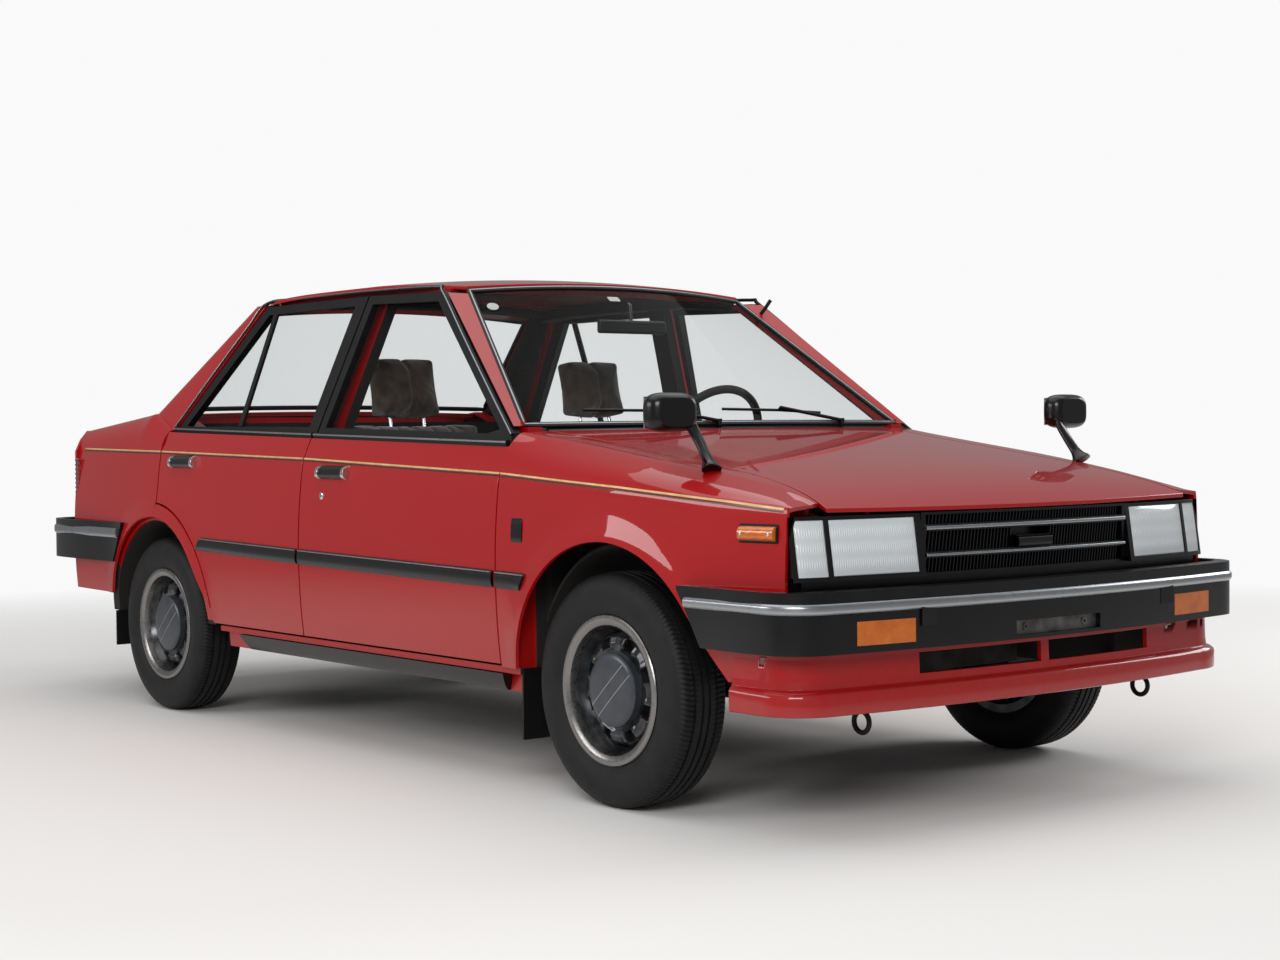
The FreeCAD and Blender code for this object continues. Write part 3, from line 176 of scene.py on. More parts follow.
def shell(outer, inner, wrap=False):
    """Closed wall between two equal grids of points: both grids, and a strip along each open edge."""
    n, m = outer.shape[:2]
    size = n * m
    index = np.arange(size).reshape(n, m)
    if wrap:
        index = np.concatenate([index, index[:, :1]], 1)
    faces = [grid_quads(index), grid_quads(index)[:, ::-1] + size]
    edges = [index[0], index[-1][::-1]]
    if not wrap:
        edges += [index[::-1, 0], index[:, -1]]
    for e in edges:
        faces.append(np.stack([e[:-1], e[1:], e[1:] + size, e[:-1] + size], -1))
    return np.concatenate([outer.reshape(-1, 3), inner.reshape(-1, 3)]), np.concatenate(faces)


def inset(grid, depth):
    """The grid moved by depth against its own normals, the cross product of its two gradients."""
    du, dv = np.gradient(grid, axis=0), np.gradient(grid, axis=1)
    normal = np.cross(du, dv)
    normal /= np.maximum(np.linalg.norm(normal, axis=-1, keepdims=True), 1e-9)
    return grid - normal * depth


def sweep(path, profile, up=(0.0, 0.0, 1.0), closed=False, scale=None):
    """Carries a closed profile (sideways, up) along a path, scaled at each point; its ends are capped unless it closes."""
    path, profile = np.asarray(path, float), np.asarray(profile, float)
    if closed:
        along = np.roll(path, -1, 0) - np.roll(path, 1, 0)
    else:
        along = np.gradient(path, axis=0)
    along /= np.linalg.norm(along, axis=1, keepdims=True)
    side = np.cross(along, np.broadcast_to(np.asarray(up, float), path.shape))
    side /= np.linalg.norm(side, axis=1, keepdims=True)
    lift = np.cross(side, along)
    if scale is not None:
        side, lift = side * np.asarray(scale)[:, None], lift * np.asarray(scale)[:, None]
    rings = path[:, None] + side[:, None] * profile[:, 0, None] + lift[:, None] * profile[:, 1, None]
    n, m = rings.shape[:2]
    index = np.arange(n * m).reshape(n, m)
    index = np.concatenate([index, index[:, :1]], 1)
    if closed:
        index = np.concatenate([index, index[:1]], 0)
    faces = grid_quads(index).tolist()
    if not closed:
        faces += [list(range(m)), list(range((n - 1) * m, n * m))[::-1]]
    return rings.reshape(-1, 3), faces


def revolve(profile, centre, steps, ripple=None):
    """Turns a closed profile (x, r) about the X axis through centre: y = r cos a, z = r sin a."""
    profile = np.asarray(profile, float)
    a = np.linspace(0.0, 2 * np.pi, steps, endpoint=False)
    r = np.broadcast_to(profile[:, 1], (steps, len(profile))).copy()
    if ripple is not None:
        r = r + ripple(a[:, None], profile[None, :, 0], r)
    x = np.broadcast_to(profile[:, 0], r.shape)
    points = stack(x, r * np.cos(a)[:, None], r * np.sin(a)[:, None]) + np.asarray(centre, float)
    index = np.arange(points.shape[0] * points.shape[1]).reshape(points.shape[:2])
    index = np.concatenate([index, index[:1]], 0)
    index = np.concatenate([index, index[:, :1]], 1)
    return points.reshape(-1, 3), grid_quads(index)


def block(low, high):
    """A box between two corners, to be finished by a bevel."""
    c = np.array([low, high], float)
    grid = lambda z: np.array([[[c[i, 0], c[j, 1], z] for j in (0, 1)] for i in (0, 1)])
    return shell(grid(c[1, 2]), grid(c[0, 2]))


def rounded_profile(width, height, radius, corners=4):
    """Rounded rectangle, points (sideways, up) round its middle."""
    points = []
    for k, (sx, sy) in enumerate(((1, 1), (-1, 1), (-1, -1), (1, -1))):
        for a in np.linspace(0, np.pi / 2, corners) + k * np.pi / 2:
            points.append(
                (sx * (width / 2 - radius) + radius * np.cos(a), sy * (height / 2 - radius) + radius * np.sin(a))
            )
    return points


def joined(parts):
    """One mesh from several (points, faces)."""
    points, faces, start = [], [], 0
    for p, f in parts:
        points.append(np.asarray(p, float))
        faces += [[int(i) + start for i in face] for face in f]
        start += len(p)
    return np.concatenate(points), faces


def mirrored(part):
    points, faces = part
    points = np.asarray(points, float) * (-1.0, 1.0, 1.0)
    return points, [list(f)[::-1] for f in faces]


def pick(part, side):
    return part if side > 0 else mirrored(part)


def both(part):
    return joined([part, mirrored(part)])


def build(name, part, finish, body="root", replaces=(), bevel=0.0, angle=32.0, segments=2):
    """Makes a piece from millimetre points, welded, facing outwards, riding on its body."""
    points, faces = part
    mesh = bpy.data.meshes.new(name)
    places = (np.asarray(points, float) - (0.0, AXLE_Y, 0.0)) * 0.001
    mesh.from_pydata(places.tolist(), [], [list(map(int, f)) for f in faces])
    bm = bmesh.new()
    bm.from_mesh(mesh)
    bmesh.ops.remove_doubles(bm, verts=bm.verts, dist=2e-6)
    bmesh.ops.dissolve_degenerate(bm, edges=bm.edges, dist=1e-6)
    bmesh.ops.recalc_face_normals(bm, faces=bm.faces)
    bm.to_mesh(mesh)
    bm.free()
    mesh.shade_smooth()
    mesh.set_sharp_from_angle(angle=math.radians(angle))
    piece = bpy.data.objects.new(name, mesh)
    bpy.context.scene.collection.objects.link(piece)
    mesh.materials.append(finish)
    if bevel:
        mod = piece.modifiers.new("rounded edges", "BEVEL")
        mod.width, mod.segments, mod.limit_method = bevel * 0.001, segments, "ANGLE"
        mod.angle_limit = math.radians(40.0)
        mod.harden_normals = True
    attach(piece, body)
    if replaces:
        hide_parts(*replaces)
    return piece


# ---------------------------------------------------------------- finishes
def linear(code):
    """sRGB hex to linear RGBA."""
    values = [int(code[i : i + 2], 16) / 255.0 for i in (1, 3, 5)]
    return [v / 12.92 if v <= 0.04045 else ((v + 0.055) / 1.055) ** 2.4 for v in values] + [1.0]


def add(tree, kind, settings=None, **sockets):
    """Adds a node; a socket given another socket is linked to it, and anything else is its value."""
    node = tree.nodes.new(kind)
    for key, value in (settings or {}).items():
        setattr(node, key, value)
    for key, value in sockets.items():
        socket = node.inputs[int(key[1:])] if key[0] == "i" and key[1:].isdigit() else node.inputs[key.replace("_", " ")]
        if isinstance(value, bpy.types.NodeSocket):
            tree.links.new(value, socket)
        else:
            socket.default_value = value
    return node


def finish(name, **shader):
    """A material whose Principled shader gets the given sockets."""
    made = bpy.data.materials.new(name)
    made.use_nodes = True
    tree = made.node_tree
    tree.nodes.clear()
    skin = add(tree, "ShaderNodeBsdfPrincipled", **shader)
    out = add(tree, "ShaderNodeOutputMaterial", Surface=skin.outputs[0])
    place = add(tree, "ShaderNodeTexCoord")
    return made, tree, skin, place.outputs["Object"], out


def mottled(tree, place, skin, dark, light, scale, share=(0.35, 0.7)):
    """Base colour that drifts between two shades with a noise of the given scale per metre."""
    noise = add(tree, "ShaderNodeTexNoise", Vector=place, Scale=scale, Detail=4.0)
    ramp = add(tree, "ShaderNodeValToRGB", Fac=noise.outputs[0])
    ramp.color_ramp.elements[0].position, ramp.color_ramp.elements[1].position = share
    ramp.color_ramp.elements[0].color, ramp.color_ramp.elements[1].color = linear(dark), linear(light)
    tree.links.new(ramp.outputs[0], skin.inputs["Base Color"])
    return ramp


def grained(tree, place, skin, scale, strength, depth=0.0004, kind="noise"):
    """Surface relief: a fine noise, or cells for leather-grained plastic."""
    if kind == "cells":
        source = add(tree, "ShaderNodeTexVoronoi", Vector=place, Scale=scale).outputs[0]
    else:
        source = add(tree, "ShaderNodeTexNoise", Vector=place, Scale=scale, Detail=3.0).outputs[0]
    bump = add(tree, "ShaderNodeBump", Height=source, Strength=strength, Distance=depth)
    tree.links.new(bump.outputs[0], skin.inputs["Normal"])


def enamel_colour(tree, place, main, faded):
    """Enamel that has faded a little towards the rear and carries faint dust low down."""
    axes = add(tree, "ShaderNodeSeparateXYZ", Vector=place)
    back = add(tree, "ShaderNodeMapRange", Value=axes.outputs[1], From_Min=-0.6, From_Max=1.9, To_Min=0.0, To_Max=0.8)
    cloud = add(tree, "ShaderNodeTexNoise", Vector=place, Scale=2.2, Detail=3.0)
    part = add(tree, "ShaderNodeMath", {"operation": "MULTIPLY"}, i0=back.outputs[0], i1=cloud.outputs[0])
    tone = add(tree, "ShaderNodeMix", {"data_type": "RGBA"}, Factor=part.outputs[0])
    tone.inputs[6].default_value, tone.inputs[7].default_value = linear(main), linear(faded)
    low = add(tree, "ShaderNodeMapRange", Value=axes.outputs[2], From_Min=0.20, From_Max=0.55, To_Min=0.22, To_Max=0.0)
    specks = add(tree, "ShaderNodeTexNoise", Vector=place, Scale=38.0, Detail=5.0)
    dust = add(tree, "ShaderNodeMath", {"operation": "MULTIPLY"}, i0=low.outputs[0], i1=specks.outputs[0])
    dusty = add(tree, "ShaderNodeMix", {"data_type": "RGBA"}, Factor=dust.outputs[0])
    dusty.inputs[7].default_value = linear("#6E5A50")
    tree.links.new(tone.outputs[2], dusty.inputs[6])
    return axes, dusty.outputs[2]


def body_enamel(main, faded):
    """Solid-colour enamel under clear lacquer: deep colour, sharp highlights, faint orange peel."""
    made, tree, skin, place, _ = finish(
        "red body enamel", Roughness=0.5, IOR=1.5, Specular_IOR_Level=0.15, Coat_Weight=0.85, Coat_Roughness=0.03, Coat_IOR=1.5
    )
    _, colour = enamel_colour(tree, place, main, faded)
    tree.links.new(colour, skin.inputs["Base Color"])
    # orange peel is about 3 mm across
    grained(tree, place, skin, 330.0, 0.02, 0.0002)
    return made


def shell_enamel(main, faded):
    """The welded body: the same enamel outside, dark carpet and trim inside the cabin, black engine bay."""
    made, tree, skin, place, _ = finish("body shell enamel and carpet", IOR=1.5, Coat_Roughness=0.05)
    axes, colour = enamel_colour(tree, place, main, faded)
    x = add(tree, "ShaderNodeMath", {"operation": "ABSOLUTE"}, i0=axes.outputs[0])
    # the cabin is what lies inside these planes: |x| + 0.355 z, y - 1.327 z and y + 1.421 z follow the pillars
    lean = {"operation": "MULTIPLY_ADD"}
    flank = add(tree, "ShaderNodeMath", lean, i0=axes.outputs[2], i1=0.355, i2=x.outputs[0]).outputs[0]
    screen = add(tree, "ShaderNodeMath", lean, i0=axes.outputs[2], i1=-1.327, i2=axes.outputs[1]).outputs[0]
    backlight = add(tree, "ShaderNodeMath", lean, i0=axes.outputs[2], i1=1.421, i2=axes.outputs[1]).outputs[0]
    tests = (
        (x.outputs[0], "LESS_THAN", 0.668),
        (axes.outputs[1], "GREATER_THAN", -0.93),
        (axes.outputs[1], "LESS_THAN", 1.30),
        (flank, "LESS_THAN", 1.0),
        (screen, "GREATER_THAN", -2.00),
        (backlight, "LESS_THAN", 2.62),
    )
    inside = None
    for value, how, limit in tests:
        step = add(tree, "ShaderNodeMath", {"operation": how}, i0=value, i1=limit).outputs[0]
        if inside is None:
            inside = step
        else:
            inside = add(tree, "ShaderNodeMath", {"operation": "MULTIPLY"}, i0=inside, i1=step).outputs[0]
    bay_x = add(tree, "ShaderNodeMath", {"operation": "LESS_THAN"}, i0=x.outputs[0], i1=0.772).outputs[0]
    bay_z = add(tree, "ShaderNodeMath", {"operation": "LESS_THAN"}, i0=axes.outputs[2], i1=0.70).outputs[0]
    bay_y = add(tree, "ShaderNodeMath", {"operation": "LESS_THAN"}, i0=axes.outputs[1], i1=-0.915).outputs[0]
    arch_y = add(tree, "ShaderNodeMath", {"operation": "GREATER_THAN"}, i0=axes.outputs[1], i1=0.70).outputs[0]
    ends = add(tree, "ShaderNodeMath", {"operation": "MAXIMUM"}, i0=bay_y, i1=arch_y).outputs[0]
    bay = add(tree, "ShaderNodeMath", {"operation": "MULTIPLY"}, i0=bay_x, i1=bay_z).outputs[0]
    bay = add(tree, "ShaderNodeMath", {"operation": "MULTIPLY"}, i0=bay, i1=ends).outputs[0]
    dark = add(tree, "ShaderNodeMath", {"operation": "MAXIMUM"}, i0=inside, i1=bay).outputs[0]
    pile = add(tree, "ShaderNodeTexNoise", Vector=place, Scale=900.0, Detail=2.0)
    carpet = add(tree, "ShaderNodeValToRGB", Fac=pile.outputs[0])
    carpet.color_ramp.elements[0].color, carpet.color_ramp.elements[1].color = linear("#121110"), linear("#262321")
    mix = add(tree, "ShaderNodeMix", {"data_type": "RGBA"}, Factor=dark)
    tree.links.new(colour, mix.inputs[6])
    tree.links.new(carpet.outputs[0], mix.inputs[7])
    tree.links.new(mix.outputs[2], skin.inputs["Base Color"])
    rough = add(tree, "ShaderNodeMapRange", Value=dark, To_Min=0.3, To_Max=0.95)
    tree.links.new(rough.outputs[0], skin.inputs["Roughness"])
    return made


def black_plastic(name, dark, light, rough, cells=0.0, coat=0.0):
    """Injection-moulded black plastic, weathered a little grey in clouds, with a moulded grain."""
    made, tree, skin, place, _ = finish(
        name, Roughness=rough, IOR=1.48, Specular_IOR_Level=0.35, Coat_Weight=coat, Coat_Roughness=0.12
    )
    mottled(tree, place, skin, dark, light, 14.0)
    grained(tree, place, skin, cells or 1400.0, 0.25 if cells else 0.06, 0.0003, "cells" if cells else "noise")
    return made


def plated(name, tint, rough, wear=0.0):
    """Chromium or polished metal: bright, with clouded wear where it has aged."""
    made, tree, skin, place, _ = finish(name, Base_Color=linear(tint), Metallic=1.0, Roughness=rough)
    noise = add(tree, "ShaderNodeTexNoise", Vector=place, Scale=60.0, Detail=5.0)
    span = add(tree, "ShaderNodeMapRange", Value=noise.outputs[0], To_Min=rough * 0.7, To_Max=rough * 1.4 + wear)
    tree.links.new(span.outputs[0], skin.inputs["Roughness"])
    return made


def clear_glass(name, tint, rough=0.0, alpha=0.22):
    """Thin safety glass: see-through and almost clear; a mixed transparent shader keeps the cabin lit."""
    made = bpy.data.materials.new(name)
    made.use_nodes = True
    tree = made.node_tree
    tree.nodes.clear()
    through_it = add(tree, "ShaderNodeBsdfTransparent", Color=linear(tint))
    gloss = add(tree, "ShaderNodeBsdfPrincipled", Base_Color=linear("#1A1E1D"), Roughness=0.02 + rough, IOR=1.52)
    place = add(tree, "ShaderNodeTexCoord")
    film = add(tree, "ShaderNodeTexNoise", Vector=place.outputs["Object"], Scale=5.0, Detail=6.0)
    smear = add(tree, "ShaderNodeMapRange", Value=film.outputs[0], To_Min=alpha * 0.6, To_Max=alpha * 1.3)
    edge = add(tree, "ShaderNodeFresnel", IOR=1.5)
    most = add(tree, "ShaderNodeMath", {"operation": "MAXIMUM"}, i0=edge.outputs[0], i1=smear.outputs[0])
    facing = add(tree, "ShaderNodeNewGeometry")
    outside = add(tree, "ShaderNodeMath", {"operation": "SUBTRACT"}, i0=1.0, i1=facing.outputs["Backfacing"])
    share = add(tree, "ShaderNodeMath", {"operation": "MULTIPLY"}, i0=most.outputs[0], i1=outside.outputs[0])
    mix = add(tree, "ShaderNodeMixShader", i0=share.outputs[0], i1=through_it.outputs[0], i2=gloss.outputs[0])
    add(tree, "ShaderNodeOutputMaterial", Surface=mix.outputs[0])
    return made


def lens(name, dark, light, pitch_mm, axis="X", rough=0.12):
    """Moulded acrylic lens with fine ribs at the given pitch."""
    made, tree, skin, place, _ = finish(name, Roughness=rough, IOR=1.49, Coat_Weight=0.8, Coat_Roughness=0.04)
    mottled(tree, place, skin, dark, light, 25.0)
    wave = add(
        tree, "ShaderNodeTexWave", {"wave_type": "BANDS", "bands_direction": axis}, Vector=place, Scale=314.0 / pitch_mm
    )
    bump = add(tree, "ShaderNodeBump", Height=wave.outputs[0], Strength=0.5, Distance=0.0008)
    tree.links.new(bump.outputs[0], skin.inputs["Normal"])
    return made


def lamp_glass():
    """Pressed headlamp glass over a bright reflector: fine vertical flutes crossed by a few level bands."""
    made, tree, skin, place, _ = finish(
        "fluted headlamp glass", Roughness=0.14, Metallic=0.12, IOR=1.5, Coat_Weight=1.0, Coat_Roughness=0.03
    )
    flutes = add(
        tree, "ShaderNodeTexWave", {"wave_type": "BANDS", "bands_direction": "X"}, Vector=place, Scale=52.0
    )
    bands = add(
        tree, "ShaderNodeTexWave", {"wave_type": "BANDS", "bands_direction": "Z"}, Vector=place, Scale=9.0
    )
    both_ways = add(tree, "ShaderNodeMath", {"operation": "MULTIPLY"}, i0=flutes.outputs[0], i1=bands.outputs[0])
    bump = add(tree, "ShaderNodeBump", Height=both_ways.outputs[0], Strength=0.6, Distance=0.002)
    tree.links.new(bump.outputs[0], skin.inputs["Normal"])
    ramp = add(tree, "ShaderNodeValToRGB", Fac=both_ways.outputs[0])
    ramp.color_ramp.elements[0].color, ramp.color_ramp.elements[1].color = linear("#D9DFE2"), linear("#FFFFFF")
    tree.links.new(ramp.outputs[0], skin.inputs["Base Color"])
    return made


def velour():
    """Brushed velour: brown-grey pile with soft sheen and a 2 mm weave."""
    made, tree, skin, place, _ = finish(
        "brown-grey velour", Roughness=0.95, Sheen_Weight=0.6, Sheen_Roughness=0.5, Specular_IOR_Level=0.2
    )
    mottled(tree, place, skin, "#3A3029", "#5A4C42", 30.0)
    grained(tree, place, skin, 500.0, 0.6, 0.0006)
    return made


def tyre_rubber():
    """Vulcanised rubber, dusty grey-brown on the worn places."""
    made, tree, skin, place, _ = finish("tyre rubber", Roughness=0.6, IOR=1.5, Specular_IOR_Level=0.35)
    mottled(tree, place, skin, "#050506", "#111113", 22.0)
    grained(tree, place, skin, 900.0, 0.25, 0.0004)
    return made


def plain_metal(name, dark, light, rough):
    """Rolled or cast metal under road dirt."""
    made, tree, skin, place, _ = finish(name, Roughness=rough, Metallic=0.75)
    mottled(tree, place, skin, dark, light, 18.0)
    grained(tree, place, skin, 700.0, 0.2, 0.0005)
    return made


def wheel_enamel(name, dark, light, rough, metallic):
    """Baked enamel or satin plating on pressed steel."""
    made, tree, skin, place, _ = finish(name, Roughness=rough, Metallic=metallic, Coat_Weight=0.4, Coat_Roughness=0.15)
    mottled(tree, place, skin, dark, light, 26.0)
    grained(tree, place, skin, 1100.0, 0.06, 0.0003)
    return made


FINISH = {}


def make_finishes(colours):
    main, faded = colours
    FINISH.update(
        paint=body_enamel(main, faded),
        shell=shell_enamel(main, faded),
        trim=black_plastic("black bumper plastic", "#020203", "#08080B", 0.28, 0.0, 0.2),
        rubber=black_plastic("black sealing rubber", "#040405", "#0B0B0C", 0.55),
        dash=black_plastic("grained dark vinyl", "#171513", "#221F1C", 0.6, 700.0),
        chrome=plated("chromium plate", "#D9DBDC", 0.09, 0.08),
        silver=plated("anodised aluminium trim", "#A6A9AC", 0.28, 0.03),
        ring=plated("aged wheel trim ring", "#8A8886", 0.22, 0.12),
        glass=clear_glass("clear safety glass", "#FAFBFB", 0.0, 0.03),
        lamp=lamp_glass(),
        amber=lens("amber acrylic lens", "#BC5A0A", "#D06C10", 4.0),
        red=lens("red acrylic lens", "#5E0508", "#8E0B10", 8.0, "Z"),
        velour=velour(),
        tyre=tyre_rubber(),
        steel=plain_metal("dull steel", "#4A4846", "#7B7977", 0.5),
        iron=plain_metal("cast iron", "#1B1A19", "#33302D", 0.7),
        wheel=wheel_enamel("dark pressed steel", "#2A2B2E", "#55575A", 0.27, 0.85),
        cap=wheel_enamel("dark grey cap enamel", "#2E3238", "#3B4047", 0.42, 0.3),
        gold=wheel_enamel("pale gold stripe tape", "#C9A96A", "#E0C68C", 0.4, 0.2),
        black_tape=wheel_enamel("black stripe tape", "#0B0B0C", "#151516", 0.4, 0.0),
        paper=wheel_enamel("plain neutral sticker", "#A8ABA6", "#B5B8B3", 0.6, 0.0),
    )


CAD_FINISH = {
    "body_frame": "shell",
    "cowl_panel": "trim",
    "rear_panel": "paint",
    "front_valance": "paint",
    "front_indicators": "amber",
    "front_bumper": "trim",
    "plate_bracket": "steel",
    "rear_bumper": "trim",
    "tail_lamps": "red",
    "dashboard": "dash",
    "seat_frames": "steel",
    "wipers": "trim",
    "fender_mirrors": "trim",
    "interior_mirror": "trim",
    "engine_block": "iron",
    "exhaust": "steel",
    "fuel_tank": "steel",
    "front_suspension": "iron",
    "rear_axle": "iron",
    "mud_flaps": "rubber",
    "tow_hooks": "iron",
    "steering_wheel": "dash",
    "grille": "trim",
    "headlamps": "lamp",
    "front_door_glass_left": "glass",
    "front_door_glass_right": "glass",
    "rear_door_glass_left": "glass",
    "rear_door_glass_right": "glass",
    "knuckle_left": "iron",
    "knuckle_right": "iron",
}


def dress_frame():
    """Gives each carried-over CAD node its real finish."""
    for node, key in CAD_FINISH.items():
        piece = frame["nodes"][node]
        piece.data.materials.clear()
        piece.data.materials.append(FINISH[key])


# ---------------------------------------------------------------- painted panels
FRONT_LEG = ((-297.2, 504.7), (-422.0, 342.4))


def hood_part():
    """Hood: between its side edges hood_edge(y) and its bowed front and rear edges, 18 mm deep, thinner at the nose."""
    v = np.linspace(0.0, 1.0, 60)[:, None]
    u = np.linspace(-1.0, 1.0, 49)[None, :]
    guess = 440.0 - 1080.0 * v
    x = u * hood_edge(guess)
    rear = 425.0 - 70.0 * (1.0 - (x / 620.0) ** 2)
    front = -668.0 + 42.0 * (x / 640.0) ** 2
    y = blend_line(rear, front, v)
    x = u * hood_edge(y)
    top = stack(x, y, hood_z(x, y))
    under = top - stack(0.0, 0.0, 18.0 - 8.0 * v**4 + 0.0 * u)
    return shell(top, under)


def lid_part():
    """Trunk lid: the deck from its bowed front edge to the tail, then a face that turns down 76 mm."""
    x = np.linspace(-586.0, 586.0, 49)[None, :]
    front = 2600.0 + 42.0 * (1.0 - (x / 640.0) ** 2)
    rear = tail_face(x, 900.0) - 8.0
    v = np.linspace(0.0, 1.0, 30)[:, None]
    y = blend_line(front, rear - 12.0, v)
    deck = stack(x, y, deck_z(x, y))
    a = np.linspace(0.0, np.pi / 2, 7)[1:, None]
    edge_z = deck_z(x, rear)
    turn = stack(x, rear - 12.0 + 12.0 * np.sin(a), edge_z - 12.0 + 12.0 * np.cos(a))
    fall = stack(x, rear + 0.0 * x, edge_z - blend_line(12.0, 76.0, np.linspace(0, 1, 8)[1:, None]))
    outer = np.concatenate([deck, turn, fall])
    inner = outer.copy()
    inner[:30, :, 2] -= 16.0
    inner[:30, :, 1] = np.minimum(inner[:30, :, 1], (rear - 16.0)[0])
    inner[30:, :, 1] = (rear - 14.0)[0]
    inner[30:36, :, 2] = np.minimum(inner[30:36, :, 2], edge_z[0] - 17.0)
    return shell(outer, inner)


def roof_part():
    """Roof: between the tops of the windscreen, rear window and door frames."""
    v = np.linspace(0.0, 1.0, 50)[:, None]
    u = np.linspace(-1.0, 1.0, 45)[None, :]
    half = np.where(v < 0.16, 508.0 + 70.0 * np.minimum(1.0, v / 0.16), 578.0)
    half = half - 52.0 * np.maximum(0.0, (v - 0.84) / 0.16)
    x = half * u
    y0 = 966.0 - 42.0 * np.maximum(0.0, 1.0 - (x / 504.0) ** 2)
    y1 = 2116.0 + 26.0 * np.maximum(0.0, 1.0 - (x / 520.0) ** 2)
    y = blend_line(y0, y1, v)
    top = stack(x, y, roof_z(x, y))
    under = top - stack(0.0, 0.0, 16.0 - 8.0 * np.minimum(1.0, np.abs(x) / 578.0) ** 4)
    return shell(top, under)


def shoulder(y, x_in, x_out, z_in, z_out, bottom):
    """Section of a fender or quarter at each station: crowned top, rounded shoulder, crease, side."""
    crease = crease_z(y)
    x_crease = side_x(y, crease)
    t = np.linspace(0.0, 1.0, 4)
    top = stack(x_in[:, None] + (x_out - x_in)[:, None] * t, y[:, None], z_in[:, None] + (z_out - z_in)[:, None] * t**2)
    mid = []
    for share_x, share_z in ((0.55, 0.30), (0.86, 0.62), (1.0, 1.0)):
        mid.append(stack(x_out + share_x * (x_crease - x_out), y, z_out - share_z * (z_out - crease)))
    mid = np.stack(mid, 1)
    low = np.linspace(0.0, 1.0, 8)[1:]
    z = crease[:, None] + (bottom - crease)[:, None] * low
    side = stack(side_x(y[:, None], z), y[:, None], z)
    return through(np.concatenate([top, mid, side], 1), 70)


def arch_height(y, arch):
    yc, zc, r = ARCHES[arch]
    return zc + np.sqrt(np.maximum(0.0, r**2 - (y - yc) ** 2))


def stations(parts):
    return np.unique(np.round(np.concatenate(parts), 3))


def fender_skin():
    """Front fender: shoulder sections from the lamp to the door, ended below by the wheel arch."""
    yc, zc, r = ARCHES["front"]
    round_arch = yc + r * np.cos(np.linspace(0.06, 2.42, 64))
    y = stations([np.linspace(-598.0, 422.0, 50), round_arch, [FRONT_LEG[1][0], FRONT_LEG[0][0], 347.3, 347.6]])
    leg = np.interp(y, [FRONT_LEG[1][0], FRONT_LEG[0][0]], [FRONT_LEG[1][1], FRONT_LEG[0][1]])
    bottom = np.where(y < FRONT_LEG[0][0], leg, np.maximum(309.4, arch_height(y, "front")))
    bottom = np.where(y > 347.5, 309.4, bottom)
    x_in = hood_edge(y) + SHUT
    near = np.clip((y + 600.0) / 500.0, 0.0, 1.0)
    x_out = x_in + 22.0 + 70.0 * near
    z_in = hood_z(x_in, y)
    z_out = np.minimum(hood_z(x_out, y) - 2.0, z_in)
    z_out = np.maximum(z_out, crease_z(y) + 1.5)
    return shoulder(y, x_in, x_out, z_in, z_out, bottom)


def fender_part():
    outer = fender_skin()
    return shell(outer, inset(outer, INWARD * 9.0))


def quarter_skin():
    """Quarter panel behind the door: shoulder sections to the tail, ended below by the wheel arch."""
    yc, zc, r = ARCHES["rear"]
    round_arch = yc + r * np.cos(np.linspace(0.06, 1.60, 50))
    y = stations([np.linspace(2377.0, 3085.0, 50), round_arch[round_arch > 2377.0], [2747.3, 2747.6]])
    bottom = np.where(y < 2747.5, np.maximum(370.0, arch_height(y, "rear")), 370.0)
    x_in = np.full_like(y, 592.0)
    x_out = np.interp(y, [2377.0, 2600.0], [731.0, 706.0])
    pillar_foot = 925.0 + 0.33 * (y - 2377.0)
    z_in, z_out = np.minimum(deck_z(x_in, y), pillar_foot), np.minimum(deck_z(x_out, y), pillar_foot) - 2.0
    return shoulder(y, x_in, x_out, z_in, z_out, bottom)


def quarter_part():
    outer = quarter_skin()
    return shell(outer, inset(outer, INWARD * 9.0))


def skin_x(panel, y, z):
    """Half-width of a fender or quarter at each height of rows that run up the side, between its two nearest sections."""
    at = panel[:, 0, 1]
    rows = []
    for station, heights in zip(y.mean(axis=1), z):
        i = int(np.clip(np.searchsorted(at, station) - 1, 0, len(at) - 2))
        t = float(np.clip((station - at[i]) / (at[i + 1] - at[i]), 0.0, 1.0))
        section = blend_line(panel[i], panel[i + 1], t)[::-1]
        rows.append(np.interp(heights, section[:, 2], section[:, 0]))
    return np.array(rows)


def arch_lip_part():
    """Painted lip in front of the rear wheel: a band 41 mm wide round the arch, narrowing down its straight leg."""
    yc, zc, r = ARCHES["rear"]
    a = np.linspace(math.radians(93.0), math.radians(168.8), 40)[:, None]
    lean = np.maximum(0.0, a - math.radians(143.0))
    inner_r = r / np.cos(lean)
    radius = blend_line(inner_r, r + 41.0, np.linspace(0.0, 1.0, 5)[None, :])
    y, z = yc + radius * np.cos(a), zc + radius * np.sin(a)
    outer = stack(side_x(y, z), y, z)
    return shell(outer, outer - (9.0, 0.0, 0.0))


def pillar_lining_part():
    """Moulded lining over the inside of a rear pillar, from the door frame to the rear window."""
    rows = []
    for z in (925.0, 1318.0):
        share = (z - 917.0) / 408.0
        front = 2381.0 - 396.0 * share
        rear = max(2595.0 - 1.414 * (z - 960.0), front + 40.0)
        side = cabin_x(front, z) + 2.0
        edge = 640.0 - 120.0 * (z - 985.0) / 315.0
        middle = blend_line(front, rear, 0.5) - 20.0
        fore, aft = [(side - 44.0, front, z), (side - 52.0, middle, z)], [(side - 66.0, rear - 66.0, z)]
        rows.append(fore + aft + [(edge - 6.0, rear - 30.0, z)])
    v = np.linspace(0.0, 1.0, 12)[:, None, None]
    a = through(rows, 24)
    outer = blend_line(a[0], a[1], v)
    return shell(outer, outer - (4.0, 2.0, 0.0))


